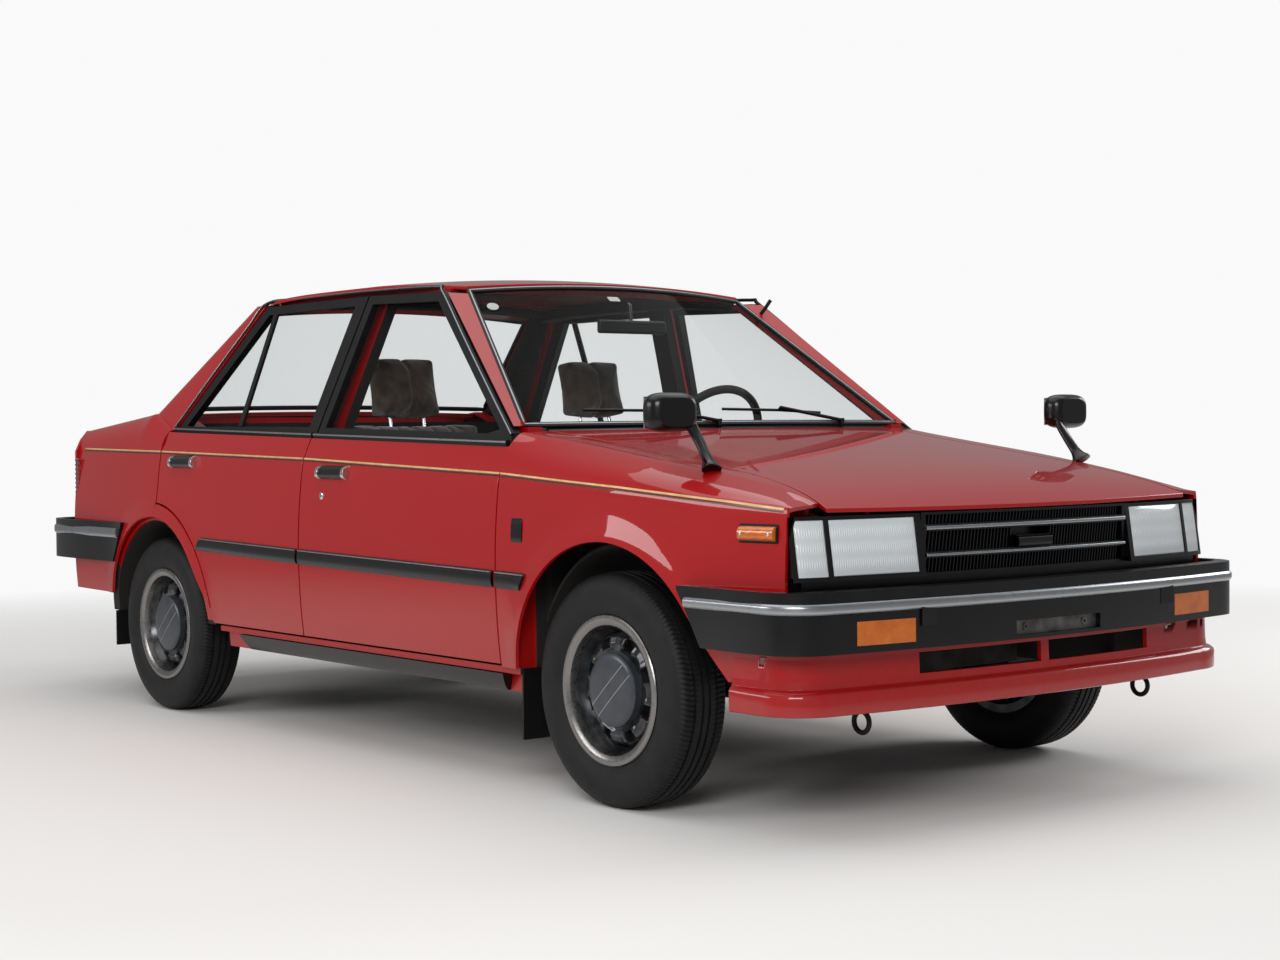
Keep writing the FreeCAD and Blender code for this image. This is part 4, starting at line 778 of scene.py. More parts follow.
def pillar_part():
    """Rear pillar: one curved strip from the door frame round to the rear window, straight between deck and roof."""
    outer, inner = [], []
    for z in (925.0, 1318.0):
        share = (z - 917.0) / 408.0
        front = 2381.0 - 396.0 * share
        rear = max(2595.0 - 1.414 * (z - 960.0), front + 40.0)
        side = cabin_x(front, z) + 2.0
        edge = 640.0 - 120.0 * (z - 985.0) / 315.0
        outer.append([(side, front, z), (side - 1.5, blend_line(front, rear, 0.5), z), (side - 5.0, rear - 30.0, z)])
        outer[-1] += [(side - 16.0, rear - 8.0, z), (side - 34.0, rear + 4.0, z), (edge + 2.0, rear + 14.0, z)]
        inner.append([(side - 40.0, front, z), (side - 42.0, blend_line(front, rear, 0.5) - 8.0, z)])
        inner[-1] += [(side - 46.0, rear - 48.0, z), (side - 52.0, rear - 40.0, z)]
        inner[-1] += [(side - 60.0, rear - 36.0, z), (edge + 2.0, rear - 28.0, z)]
    v = np.linspace(0.0, 1.0, 24)[:, None, None]
    a, b = through(outer, 28), through(inner, 28)
    return shell(blend_line(a[0], a[1], v), blend_line(b[0], b[1], v))


INWARD = -1.0
DOOR_Y = {"front": (428.0, 1430.0), "rear": (1436.0, 2371.0)}


def door_bottom(which, y, gap):
    if which == "front":
        return np.full_like(y, 316.0)
    yc, zc, r = ARCHES["rear"]
    edge = r + 41.0 + gap
    return np.maximum(316.0, zc + np.sqrt(np.maximum(0.0, edge**2 - (yc - y) ** 2)) * (np.abs(yc - y) < edge))


def door_skin_part(which):
    """Door skin below the belt: the side surface, ended below by the sill and the wheel arch."""
    y0, y1 = DOOR_Y[which]
    y = stations([np.linspace(y0, y1, 50), 2395.0 - 400.0 * np.cos(np.linspace(0.08, 1.5, 34))])
    y = y[(y >= y0) & (y <= y1)]
    bottom = door_bottom(which, y, SHUT)
    crease, belt = crease_z(y), belt_z(y)
    low = bottom[:, None] + (crease - bottom)[:, None] * np.linspace(0, 1, 24)
    high = crease[:, None] + (belt - crease)[:, None] * np.linspace(0, 1, 8)[1:]
    z = np.concatenate([low, high], 1)
    outer = stack(side_x(y[:, None], z), y[:, None], z)
    inner = outer - (14.0, 0.0, 0.0)
    return shell(outer, inner)


def door_box_part(which):
    """Inner box of a door behind its skin, 50 mm in from the ends."""
    y0, y1 = DOOR_Y[which]
    y = np.linspace(y0 + 52.0, y1 - 52.0, 40)
    bottom = door_bottom(which, y, 50.0) + 36.0
    z = bottom[:, None] + (belt_z(y) - 2.0 - bottom)[:, None] * np.linspace(0, 1, 12)
    outer = stack(side_x(y[:, None], z) - 12.0, y[:, None], z)
    inner = stack(690.0 + 0.0 * z, y[:, None], z)
    return shell(outer, inner)


FRAMES = {
    "front": (
        [(434, 880), (440, 906), (962, 1304), (1356.5, 1313), (1429, 880)],
        [(560, 905), (500, 916), (973, 1277), (1327, 1286), (1388, 925)],
    ),
    "rear": (
        [(1437, 880), (1364.5, 1313), (1984, 1312), (2371, 914), (2364, 880)],
        [(1484, 928), (1425, 1286), (1955, 1285), (2300, 938), (2290, 934)],
    ),
}


def outline(points, per_side=12):
    """Closed outline through corner points, evenly divided along each side."""
    p = np.asarray(points, float)
    t = np.linspace(0.0, 1.0, per_side, endpoint=False)[None, :, None]
    return blend_line(p[:, None], np.roll(p, -1, 0)[:, None], t).reshape(-1, 2)


def frame_part(which):
    """Window frame: a ring between the frame's outline and the window's, on the leaning cabin side."""
    big, small = (outline(p) for p in FRAMES[which])
    v = np.linspace(0.0, 1.0, 4)[:, None, None]
    yz = blend_line(big, small, v)
    y, z = yz[..., 0], yz[..., 1]
    outer = stack(cabin_x(y, z), y, z)
    return shell(outer, outer - (26.0, 0.0, 0.0), wrap=True)


def screen_part(low, high):
    """Curved screen 5 mm thick: rows of a bowed arc, straight between its lower and upper edges."""
    v = np.linspace(0.0, 1.0, 24)[:, None]
    u = np.linspace(-1.0, 1.0, 41)[None, :]
    half, y, bow, z, lift = (blend_line(a, b, v) for a, b in zip(low, high))
    points = stack(half * u, y + bow * (1 - u**2), z + lift * (1 - u**2))
    return points


SCREENS = {
    "windscreen": ((680.0, 455.0, -58.0, 926.0, 2.0), (504.0, 962.0, -42.0, 1308.0, 22.0)),
    "rear_window": ((636.0, 2552.0, 40.0, 992.0, 8.0), (520.0, 2120.0, 26.0, 1296.0, 26.0)),
}


# ---------------------------------------------------------------- trim that lies on the side of the body
STRIPE_Y = [-581.0, -421.0, -65.0, 417.0, 1419.0, 2353.0, 3027.0]
STRIPE_Z = [734.0, 748.0, 774.0, 802.0, 834.0, 852.0, 860.0]
RUNS = (("fender", "root", -588.0, 420.0), ("front_door", "front", 430.0, 1428.0), ("rear_door", "rear", 1438.0, 2369.0))


def skin_strip(y0, y1, low, high, proud, columns=50, slant=(0.0, 0.0), crown=4.0, sink=1.0, panel=None):
    """Strip on the side surface between two height lines, standing proud in a flat-topped curve."""
    t = np.linspace(0.0, 1.0, columns)[:, None]
    v = np.linspace(0.0, 1.0, 9)[None, :]
    y = blend_line(y0 + slant[0] * (1 - v), y1 + slant[1] * (1 - v), t)
    z = blend_line(low(y), high(y), v)
    base = side_x(y, z) if panel is None else skin_x(panel, y, z)
    outer = stack(base + proud * (1 - np.abs(2 * v - 1) ** crown), y, z)
    inner = stack(base - sink, y, z)
    return shell(outer, inner)


def door_body(which, side_name):
    return "root" if which == "root" else f"{which}_{side_name}_door"


def moulding_low(y):
    return np.interp(y, [300.0, 432.0, 1433.0, 2060.0], [509.0, 511.0, 525.0, 541.0])


def moulding_high(y):
    return np.interp(y, [300.0, 432.0, 1433.0, 2060.0], [555.0, 557.0, 572.0, 584.0])


# ---------------------------------------------------------------- nose
def wrap_plan(front, curve, corner_x, corner, side, end, sign):
    """Bumper's plan: a shallow parabola, an elliptical corner and a straight side; points (x, y)."""
    x = np.linspace(0.0, corner_x, 30)
    middle = np.stack([x, front - sign * curve * x * x], 1)
    x0, y0 = middle[-1]
    a = np.linspace(0.0, np.pi / 2, 25)[1:]
    bend = np.stack([x0 + (side - x0) * np.sin(a), y0 - sign * corner * (1 - np.cos(a))], 1)
    y1 = bend[-1, 1]
    run = np.stack([np.full(12, side), np.linspace(y1, end, 13)[1:]], 1)
    half = np.concatenate([middle, bend, run])
    return np.concatenate([half[:0:-1] * (-1.0, 1.0), half])


def wrap_strip(plan, z0, z1, proud, depth, crown=4.0):
    """Strip carried round a bumper's plan, standing proud of it."""
    along = np.gradient(plan, axis=0)
    along /= np.linalg.norm(along, axis=1, keepdims=True)
    normal = np.stack([along[:, 1], -along[:, 0]], 1)
    if plan[len(plan) // 2, 1] > 0:
        normal = -normal
    v = np.linspace(0.0, 1.0, 9)[None, :]
    out = proud * (1 - np.abs(2 * v - 1) ** crown)
    place = plan[:, None, :] + normal[:, None, :] * out[..., None]
    back = plan[:, None, :] - normal[:, None, :] * depth + 0.0 * place
    z = np.broadcast_to(blend_line(z0, z1, v), place.shape[:2])
    return shell(stack(place[..., 0], place[..., 1], z), stack(back[..., 0], back[..., 1], z))


def lamp_plan(x0, x1, count):
    """Plan of the lamps: along the nose, then swept back round the corner to the fender."""
    x = np.array([366.4, 440.0, 520.0, 600.0, 660.0])
    points = np.stack([x, lamp_face(x, 647.0)], 1)
    points = np.concatenate([points, [(700.0, -613.0), (727.0, -600.0)]])
    fine = through(points, 200)
    at = np.linspace(x0, x1, count)
    return np.stack([at, np.interp(at, fine[:, 0], fine[:, 1])], 1)


def lamp_part(x0, x1, z0, z1, forward, depth, dome=0.0):
    """Lamp face between two heights, with a slight dome in front of the body."""
    plan = lamp_plan(x0, x1, 40)
    v = np.linspace(0.0, 1.0, 20)[None, :]
    u = np.linspace(0.0, 1.0, 40)[:, None]
    z = blend_line(z0, z1, v)
    swell = dome * (1 - (2 * u - 1) ** 6) * (1 - (2 * v - 1) ** 6)
    y = plan[:, 1:2] + 0.15 * (z - 647.0) - forward - swell
    outer = stack(plan[:, 0:1], y, z)
    back = stack(plan[:, 0:1], np.minimum(plan[:, 1:2] + depth, -600.5), z + 0 * y)
    return shell(outer, back)


def grille_fins():
    """Slanted upright fins in the three openings of the grille, 11 mm apart."""
    parts = []
    for z0, z1 in ((580.0, 613.0), (627.0, 674.0), (690.0, 712.0)):
        for x in np.arange(-346.0, 347.0, 11.0):
            if abs(x) < 62.0 and z0 == 627.0:
                continue
            face = float(lamp_face(x, 647.0)) + 12.0
            p, f = block((x - 1.6, face, z0 - 1.0), (x + 1.6, face + 16.0, z1 + 1.0))
            p = np.asarray(p)
            p[:, 0] += (p[:, 2] - (z0 + z1) / 2) * 0.16
            parts.append((p, f))
    return joined(parts)


def nose_bar(x0, x1, z0, z1, forward, depth=8.0):
    """Level bar across the nose, following its plan."""
    x = np.linspace(x0, x1, 41)[:, None]
    a = np.linspace(-1.0, 1.0, 7)[None, :]
    z = (z0 + z1) / 2 + a * (z1 - z0) / 2
    y = lamp_face(x, 647.0) - forward * np.sqrt(np.maximum(0.0, 1 - a**4)) + 4.0
    return shell(stack(x, y, z), stack(x, lamp_face(x, 647.0) + 4.0 + depth, z))


def wrapped_wall(plan, rows, depth, keep=None):
    """Wall carried round a plan curve: each row (height, inset) moves it in along its own normals."""
    along = np.gradient(plan, axis=0)
    along /= np.linalg.norm(along, axis=1, keepdims=True)
    normal = np.stack([along[:, 1], -along[:, 0]], 1)
    ends = np.clip((-300.0 - plan[:, 1]) / 330.0, 0.0, 1.0)[:, None]
    rows = np.asarray(rows, float)
    outer = plan[:, None] - normal[:, None] * (rows[None, :, 1] * ends)[..., None]
    inner = outer - normal[:, None] * depth
    z = np.broadcast_to(rows[None, :, 0], outer.shape[:2])
    a, b = stack(outer[..., 0], outer[..., 1], z), stack(inner[..., 0], inner[..., 1], z)
    if keep is not None:
        a, b = a[keep], b[keep]
    return shell(a, b)


def valance_parts():
    """Valance under the bumper: a lip along its foot, a sunk face above it, and two openings for air."""
    plan = wrap_plan(-727.0, 1.1e-4, 640.0, 120.0, 779.0, -455.0, -1)
    extra = np.array([-410.0, -14.0, 14.0, 410.0])
    more = np.stack([extra, -727.0 + 1.1e-4 * extra**2], 1)
    plan = np.concatenate([plan, more])
    front = np.argsort(plan[:, 0] + 1e-3 * np.sign(plan[:, 0]) * plan[:, 1], kind="stable")
    plan = plan[front]
    lower = [(281.0, 6.0), (283.0, 1.0), (290.0, 0.0), (322.0, 0.0), (330.0, 2.0), (336.0, 10.0), (340.0, 20.0), (357.0, 22.0)]
    upper = [(405.0, 24.0), (412.0, 24.0), (419.0, 24.0)]
    middle = [(357.0, 22.0), (381.0, 23.0), (405.0, 24.0)]
    parts = [wrapped_wall(plan, lower, 12.0), wrapped_wall(plan, upper, 12.0)]
    for low, high in ((-900.0, -410.0), (-14.0, 14.0), (410.0, 900.0)):
        parts.append(wrapped_wall(plan, middle, 12.0, (plan[:, 0] >= low - 0.01) & (plan[:, 0] <= high + 0.01)))
    return joined(parts)


def mirror_head():
    """Rounded mirror head: a superellipsoid, cut flat where its glass sits."""
    a = np.linspace(-np.pi / 2, np.pi / 2, 33)[:, None]
    b = np.linspace(-np.pi, np.pi, 64, endpoint=False)[None, :]
    bend = lambda value, power: np.sign(value) * np.abs(value) ** power
    x = 711.0 + 70.0 * bend(np.cos(a), 0.55) * bend(np.cos(b), 0.55)
    z = 952.0 + 47.0 * bend(np.cos(a), 0.55) * bend(np.sin(b), 0.55)
    y = np.minimum(-176.0 + 38.0 * bend(np.sin(a), 0.9) + 0.0 * b, -154.0)
    y = np.maximum(y, -208.0)
    grid = stack(x, y, z)
    n, m = grid.shape[:2]
    index = np.arange(n * m).reshape(n, m)
    index = np.concatenate([index, index[:, :1]], 1)
    return grid.reshape(-1, 3), grid_quads(index)


def mirror_arm():
    """Arm sweeping from the head down to a broad foot on the fender."""
    path = [(672.0, -182.0, 940.0), (662.0, -196.0, 918.0), (660.0, -226.0, 878.0)]
    path = through(path + [(663.0, -258.0, 836.0), (665.0, -272.0, 818.0)], 24)
    t = np.linspace(0.0, 1.0, 24)
    size = 1.0 + 0.15 * np.cos(t * np.pi) ** 2 + 0.9 * soft_step(t, 0.65, 1.0)
    return sweep(path, rounded_profile(28.0, 17.0, 8.0, 4), (0.0, 1.0, 0.6), False, size)


# ---------------------------------------------------------------- wheels
def soft_step(value, low, high):
    t = np.clip((value - low) / (high - low), 0.0, 1.0)
    return t * t * (3 - 2 * t)


def tread_ripple(a, x, r):
    """Shallow cuts across the shoulders, 2.5 degrees apart, deepest at the tread."""
    shoulder = soft_step(r, 268.0, 282.0) * (np.abs(x) > 26.0)
    cuts = (np.sin(a * 144.0 + np.abs(x) * 0.05) > 0.45) * 1.0
    rib = soft_step(r, 206.0, 208.0) * (1 - soft_step(r, 211.0, 213.0)) * 0.9
    return -3.2 * shoulder * cuts + rib


def tyre_part(centre_x, centre_y):
    """Tyre: sidewall bulge, rounded shoulders and four grooves round the tread."""
    half = [(62, 165.2), (63, 176), (64.5, 183), (69, 192), (75, 206), (77.6, 220), (78.4, 232), (77.6, 246)]
    half += [(75, 259), (71, 268), (66, 275), (60, 280), (54, 282.5), (44, 284), (38, 284.3), (37, 279), (31, 279)]
    half += [(30, 284.5), (20, 284.8), (14, 285), (13, 279.5), (7, 279.5), (6, 285), (0, 285)]
    profile = half + [(-x, r) for x, r in half[-2::-1]]
    return revolve(profile, (centre_x, centre_y, 285.0), 576, tread_ripple)


VENT_DEPTH = 26.0  # how far the wheel's vents go back from its face
VENTS = 8  # round each wheel
DISC_THICKNESS = 3.0


def slot_mask(a, r):
    """Eight vents round the disc, with rounded corners."""
    turn = np.abs((a * VENTS / (2 * np.pi)) % 1.0 - 0.5) * 360.0 / VENTS
    along = np.clip(1 - np.abs(r - 117.0) / 14.0, 0, 1)
    across = np.clip(1 - turn / 9.0, 0, 1)
    return soft_step(np.minimum(along, across), 0.0, 0.28)


def wheel_disc(centre_x, centre_y, side):
    """Pressed disc with eight raised bosses round eight deep vents, between the hub and the rim well."""
    r = [58, 64, 70, 76, 82, 88, 92, 95, 97, 99, 101, 103, 106, 109, 112, 115, 118, 121, 124, 126, 128, 130, 133]
    r = np.array(r + [137, 141, 145], float)
    x = np.interp(r, [58, 70, 82, 97, 112, 128, 137, 145], [46.0, 43, 37, 38, 40, 34, 20, 12])
    a = np.linspace(0.0, 2 * np.pi, 384, endpoint=False)[:, None]
    turn = np.abs((a * VENTS / (2 * np.pi)) % 1.0 - 0.5) * 360.0 / VENTS
    boss = 3.0 * soft_step(1 - np.abs(r - 117.0) / 24.0, 0.0, 0.5) * soft_step(1 - turn / 19.0, 0.0, 0.4)
    depth = x + boss - VENT_DEPTH * slot_mask(a, r)
    y, z = centre_y + r * np.cos(a), 285.0 + r * np.sin(a)
    front = stack(centre_x + side * depth, y, z)
    back = stack(centre_x + side * (np.minimum(depth, x) - DISC_THICKNESS), y, z)
    return shell(np.swapaxes(front, 0, 1), np.swapaxes(back, 0, 1), wrap=True)


def vent_shade_sheets(centre_x, centre_y, side):
    """Painted shade: black sheets in the vent recesses that stand in for the shaded hollows seen through the vents."""
    parts = []
    for k in range(8):
        middle = (k + 0.5) * np.pi / 4
        a = middle + np.radians(np.linspace(-7.6, 7.6, 9))[:, None]
        r = np.linspace(108.0, 126.0, 7)[None, :]
        y, z = centre_y + r * np.cos(a), 285.0 + r * np.sin(a)
        lift = side * 19.0
        parts.append(shell(stack(centre_x + lift, y, z), stack(centre_x + lift - side * 2.0, y, z)))
    return joined(parts)


def ring_part(profile, centre_x, centre_y, side, steps=192):
    return revolve([(side * x, r) for x, r in profile], (centre_x, centre_y, 285.0), steps)


RIM_SECTION = [(-66, 158), (-66.5, 181), (-62.4, 182), (-62, 165), (-38, 165), (-28, 146), (14, 146), (34, 165)]
RIM_SECTION += [(62, 165), (62.4, 182), (66.5, 181.5), (66.8, 170), (64, 160), (44, 156), (20, 140), (-32, 139), (-42, 158)]
RING_SECTION = [(67, 183), (69.5, 181), (70.5, 174), (69, 166), (64, 158), (54, 155), (46, 153), (46, 155), (54, 158)]
RING_SECTION += [(62, 160), (66.6, 168), (67, 176)]
CAP_SECTION = [(34, 91), (50, 91), (56, 89.5), (59.5, 85), (61, 74), (62, 50), (62.5, 25), (62.5, 0.5), (34, 0.5)]


def cap_line(centre_x, centre_y, side, offset):
    """Bright line across the hub cap, aslant at 40 degrees."""
    half = math.sqrt(85.0**2 - offset**2)
    t = np.linspace(-half, half, 24)
    lean = math.radians(-42.0) * side
    y = t * math.cos(lean) - offset * math.sin(lean)
    z = t * math.sin(lean) + offset * math.cos(lean)
    rr = np.hypot(y, z)
    x = np.interp(rr, [0, 25, 50, 74, 85], [62.5, 62.5, 62.0, 61.0, 59.5]) + 0.5
    path = np.stack([centre_x + side * x, centre_y + side * y, 285.0 + z], 1)
    return sweep(path, rounded_profile(1.2, 2.6, 0.5, 2), (0.0, 0.0, 1.0))


# ---------------------------------------------------------------- seats
SEAT_CENTRE = 365.0  # from the car's middle to the middle of a front seat
PAD_ROOM = 14.0  # how far a pad is drawn in before it swells


def pad_block(outline_yz, x0, x1, shrink):
    """Closed block across the seat from an outline in (y, z), drawn in to leave room for its swelling."""
    p = np.asarray(outline_yz, float)
    middle = p.mean(0)
    p = middle + (p - middle) * (1 - shrink / np.linalg.norm(p - middle, axis=1, keepdims=True))
    corners = outline(p, 6)
    x = np.linspace(x0 + shrink, x1 - shrink, 8)
    rings = stack(x[:, None], corners[None, :, 0], corners[None, :, 1])
    n, m = rings.shape[:2]
    index = np.arange(n * m).reshape(n, m)
    index = np.concatenate([index, index[:, :1]], 1)
    faces = grid_quads(index).tolist() + [list(range(m)), list(range((n - 1) * m, n * m))[::-1]]
    return rings.reshape(-1, 3), faces


def puff(piece, cap_mm, voxel_mm=6.0, pressure=4.0):
    """Fills a pad by cloth pressure: remesh, twenty frames with no gravity, and a cap on how far a point moves."""
    mesh = piece.data
    bpy.context.view_layer.objects.active = piece
    bevel = piece.modifiers.new("soft edges", "BEVEL")
    bevel.width, bevel.segments, bevel.angle_limit = 0.022, 4, math.radians(40)
    remesh = piece.modifiers.new("even cloth", "REMESH")
    remesh.mode, remesh.voxel_size = "VOXEL", voxel_mm * 0.001
    done = bpy.data.meshes.new_from_object(piece.evaluated_get(bpy.context.evaluated_depsgraph_get()))
    piece.modifiers.clear()
    piece.data = done
    done.materials.clear()
    done.materials.append(mesh.materials[0])
    start = np.empty(len(done.vertices) * 3, np.float32)
    done.vertices.foreach_get("co", start)
    cloth = piece.modifiers.new("filling", "CLOTH")
    cloth.settings.use_pressure = True
    cloth.settings.uniform_pressure_force = pressure
    cloth.settings.effector_weights.gravity = 0.0
    cloth.settings.quality = 3
    cloth.point_cache.frame_start, cloth.point_cache.frame_end = 1, 20
    scene = bpy.context.scene
    for step in range(1, 21):
        scene.frame_set(step)
    swollen = bpy.data.meshes.new_from_object(piece.evaluated_get(bpy.context.evaluated_depsgraph_get()))
    piece.modifiers.clear()
    scene.frame_set(1)
    end = np.empty(len(swollen.vertices) * 3, np.float32)
    swollen.vertices.foreach_get("co", end)
    move = (end - start).reshape(-1, 3)
    size = np.linalg.norm(move, axis=1, keepdims=True)
    limit = cap_mm * 0.001
    move *= np.minimum(1.0, limit / np.maximum(size, 1e-9))
    done.vertices.foreach_set("co", (start.reshape(-1, 3) + move).ravel())
    done.update()


def channel(piece, spacing_mm, depth_mm, centre_mm, half_mm):
    """Sewn channels: grooves along the seat, spaced evenly across it, fading out near its sides."""
    mesh = piece.data
    count = len(mesh.vertices)
    co, no = np.empty(count * 3, np.float32), np.empty(count * 3, np.float32)
    mesh.vertices.foreach_get("co", co)
    mesh.vertices.foreach_get("normal", no)
    co, no = co.reshape(-1, 3), no.reshape(-1, 3)
    across = co[:, 0] * 1000.0 - centre_mm
    phase = np.abs(across / spacing_mm - np.round(across / spacing_mm)) * spacing_mm
    groove = np.exp(-((phase / 5.0) ** 2)) * (np.abs(across) < half_mm)
    co -= no * (groove * depth_mm * 0.001)[:, None]
    mesh.vertices.foreach_set("co", co.ravel())
    mesh.update()
    mesh.shade_smooth()
    sub = piece.modifiers.new("smooth cloth", "SUBSURF")
    sub.levels = sub.render_levels = 1


FRONT_PADS = (
    ("cushion", [(900, 385), (900, 545), (1380, 500), (1380, 385)], 245.0, 24.0, 62.0, 150.0),
    ("back", [(1306, 515), (1430, 500), (1565, 925), (1460, 950)], 245.0, 24.0, 62.0, 150.0),
    ("headrest", [(1467, 952), (1562, 944), (1600, 1140), (1515, 1150)], 118.0, 16.0, 400.0, 10.0),
)
REAR_PADS = (
    ("rear_cushion", [(1790, 413), (1790, 540), (2200, 505), (2200, 413)], 548.0, 24.0, 80.0, 440.0),
    ("rear_back", [(2120, 516), (2230, 505), (2325, 905), (2255, 925)], 548.0, 24.0, 80.0, 440.0),
)


# ---------------------------------------------------------------- user sizes and colours
class SedanColours(bpy.types.PropertyGroup):
    """Colours of the car."""

    paint: FloatVectorProperty(
        name="Body enamel", description="Main colour of the body", subtype="COLOR", size=3, default=(0.64, 0.0, 0.02)
    )
    faded: FloatVectorProperty(
        name="Faded enamel", description="Colour that the enamel fades to", subtype="COLOR", size=3, default=(0.69, 0.04, 0.05)
    )


class SedanSizes(bpy.types.PropertyGroup):
    """Sizes of the trim, in millimetres."""

    moulding_proud: FloatProperty(
        name="Moulding depth", description="How far the side moulding stands out", default=9.0, min=2.0, max=14.0
    )
    stripe_width: FloatProperty(
        name="Pinstripe width", description="Height of the upper stripe line", default=5.0, min=1.0, max=12.0
    )
    cap_line_count: IntProperty(
        name="Cap lines", description="Bright lines on each hub cap", default=2, min=0, max=4
    )


def hex_of(colour):
    return "#" + "".join(f"{int(round(c * 255)):02X}" for c in colour)


class SedanOperator:
    bl_options = {"REGISTER"}


class SEDAN_OT_finishes(SedanOperator, bpy.types.Operator):
    """Make every material and dress the carried-over nodes"""

    bl_idname = "sedan.finishes"
    bl_label = "Finishes"

    def execute(self, context):
        colours = context.scene.sedan_colours
        make_finishes((hex_of(colours.paint), hex_of(colours.faded)))
        dress_frame()
        return {"FINISHED"}


class SEDAN_OT_panels(SedanOperator, bpy.types.Operator):
    """Build the hood, roof, trunk lid, fenders, quarters and rear pillars"""

    bl_idname = "sedan.panels"
    bl_label = "Painted panels"

    def execute(self, context):
        paint = FINISH["paint"]
        build("hood_skin", hood_part(), paint, "hood", ["hood"], 1.5)
        build("trunk_lid_skin", lid_part(), paint, "trunk_lid", ["trunk_lid"], 1.5)
        build("roof_skin", roof_part(), paint, "root", ["roof_panel"], 1.5)
        for name, side in SIDES:
            lining = pillar_lining_part()
            build(f"rear_pillar_lining_{name}", pick(lining, side), FINISH["dash"], "root")
            build(f"front_fender_{name}", pick(fender_part(), side), paint, "root", (), 1.2, 50.0)
            build(f"quarter_panel_{name}", pick(quarter_part(), side), paint, "root", (), 1.2, 50.0)
            build(f"rear_arch_lip_{name}", pick(arch_lip_part(), side), paint, "root", (), 1.2)
            build(f"rear_pillar_{name}", pick(pillar_part(), side), paint, "root", (), 1.2, 50.0)
        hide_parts("front_fenders")
        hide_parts("quarter_panels")
        return {"FINISHED"}


class SEDAN_OT_doors(SedanOperator, bpy.types.Operator):
    """Build the four doors with their window frames"""

    bl_idname = "sedan.doors"
    bl_label = "Doors"

    def execute(self, context):
        for name, side in SIDES:
            for which in ("front", "rear"):
                body = f"{which}_{name}_door"
                skin = build(
                    f"{which}_door_skin_{name}", pick(door_skin_part(which), side), FINISH["paint"], body, (), 1.2
                )
                box, frame = pick(door_box_part(which), side), pick(frame_part(which), side)
                build(f"{which}_door_trim_{name}", box, FINISH["dash"], body, (), 8.0)
                build(f"{which}_window_frame_{name}", frame, FINISH["rubber"], body, (), 1.5)
                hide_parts(f"{which}_door_{name}")
        return {"FINISHED"}


class SEDAN_OT_glass(SedanOperator, bpy.types.Operator):
    """Build the windscreen, rear window and their sealing frames"""

    bl_idname = "sedan.glass"
    bl_label = "Screens"

    def execute(self, context):
        for node, (low, high) in SCREENS.items():
            outer = screen_part(low, high)
            push = -4.0 if node == "windscreen" else 4.0
            build(f"{node}_glass", shell(outer, outer - (0.0, push, -2.0)), FINISH["glass"], "root", [node], 0.0)
            edge = np.concatenate([outer[0], outer[1:, -1], outer[-1, -2::-1], outer[-2:0:-1, 0]])
            face = (0.0, -0.55, 0.83) if node == "windscreen" else (0.0, 0.55, 0.83)
            seal = sweep(edge, rounded_profile(20.0, 9.0, 3.0, 3), face, closed=True)
            build(f"{node}_seal", seal, FINISH["rubber"], "root")
            bright = sweep(edge + np.asarray(face) * 4.0, rounded_profile(5.0, 4.0, 1.5, 3), face, closed=True)
            build(f"{node}_bright_trim", bright, FINISH["silver"], "root")
        outer = screen_part(*SCREENS["windscreen"])
        for label, u, t, size in (("round", -0.88, 0.90, (18.0, 18.0)), ("square", -0.10, 0.93, (20.0, 11.0))):
            i, j = int(t * 23), int((u + 1) * 20)
            middle = outer[i, j]
            across, rise = outer[i, j + 1] - outer[i, j], outer[i + 1, j] - outer[i, j]
            across, rise = across / np.linalg.norm(across), rise / np.linalg.norm(rise)
            a = np.linspace(0, 2 * np.pi, 33)[:-1]
            power = 1.0 if label == "round" else 0.25
            ring = middle + np.cross(across, rise) * -0.4
            ring = ring + across * (size[0] * np.sign(np.cos(a)) * np.abs(np.cos(a)) ** power)[:, None]
            ring = ring + rise * (size[1] * np.sign(np.sin(a)) * np.abs(np.sin(a)) ** power)[:, None]
            lifted = ring + np.cross(across, rise) * 0.8
            points = np.concatenate([ring, lifted])
            n = len(a)
            sides = [[k, (k + 1) % n, (k + 1) % n + n, k + n] for k in range(n)]
            ends = [list(range(n))[::-1], list(range(n, 2 * n))]
            build(f"{label}_sticker", (points, sides + ends), FINISH["paper"], "root")
        mast = [(556.0, 905.0, 1270.0), (566.0, 893.0, 1290.0), (574.0, 880.0, 1312.0)]
        mast = sweep(mast, rounded_profile(12.0, 12.0, 5.9, 4))
        build("antenna_base", mast, FINISH["trim"], "root")
        for name, side in SIDES:
            path = np.array([(0.0, 1929.0, 932.0), (0.0, 1918.0, 1288.0)])
            t = np.linspace(0, 1, 12)[:, None]
            path = blend_line(path[0], path[1], t)
            path[:, 0] = cabin_x(path[:, 1], path[:, 2]) - 6.0
            bar = sweep(path, rounded_profile(22.0, 12.0, 3.0, 3), (1.0, 0.0, 0.3))
            build(f"rear_division_bar_{name}", pick(bar, side), FINISH["rubber"], f"rear_{name}_door")
        return {"FINISHED"}


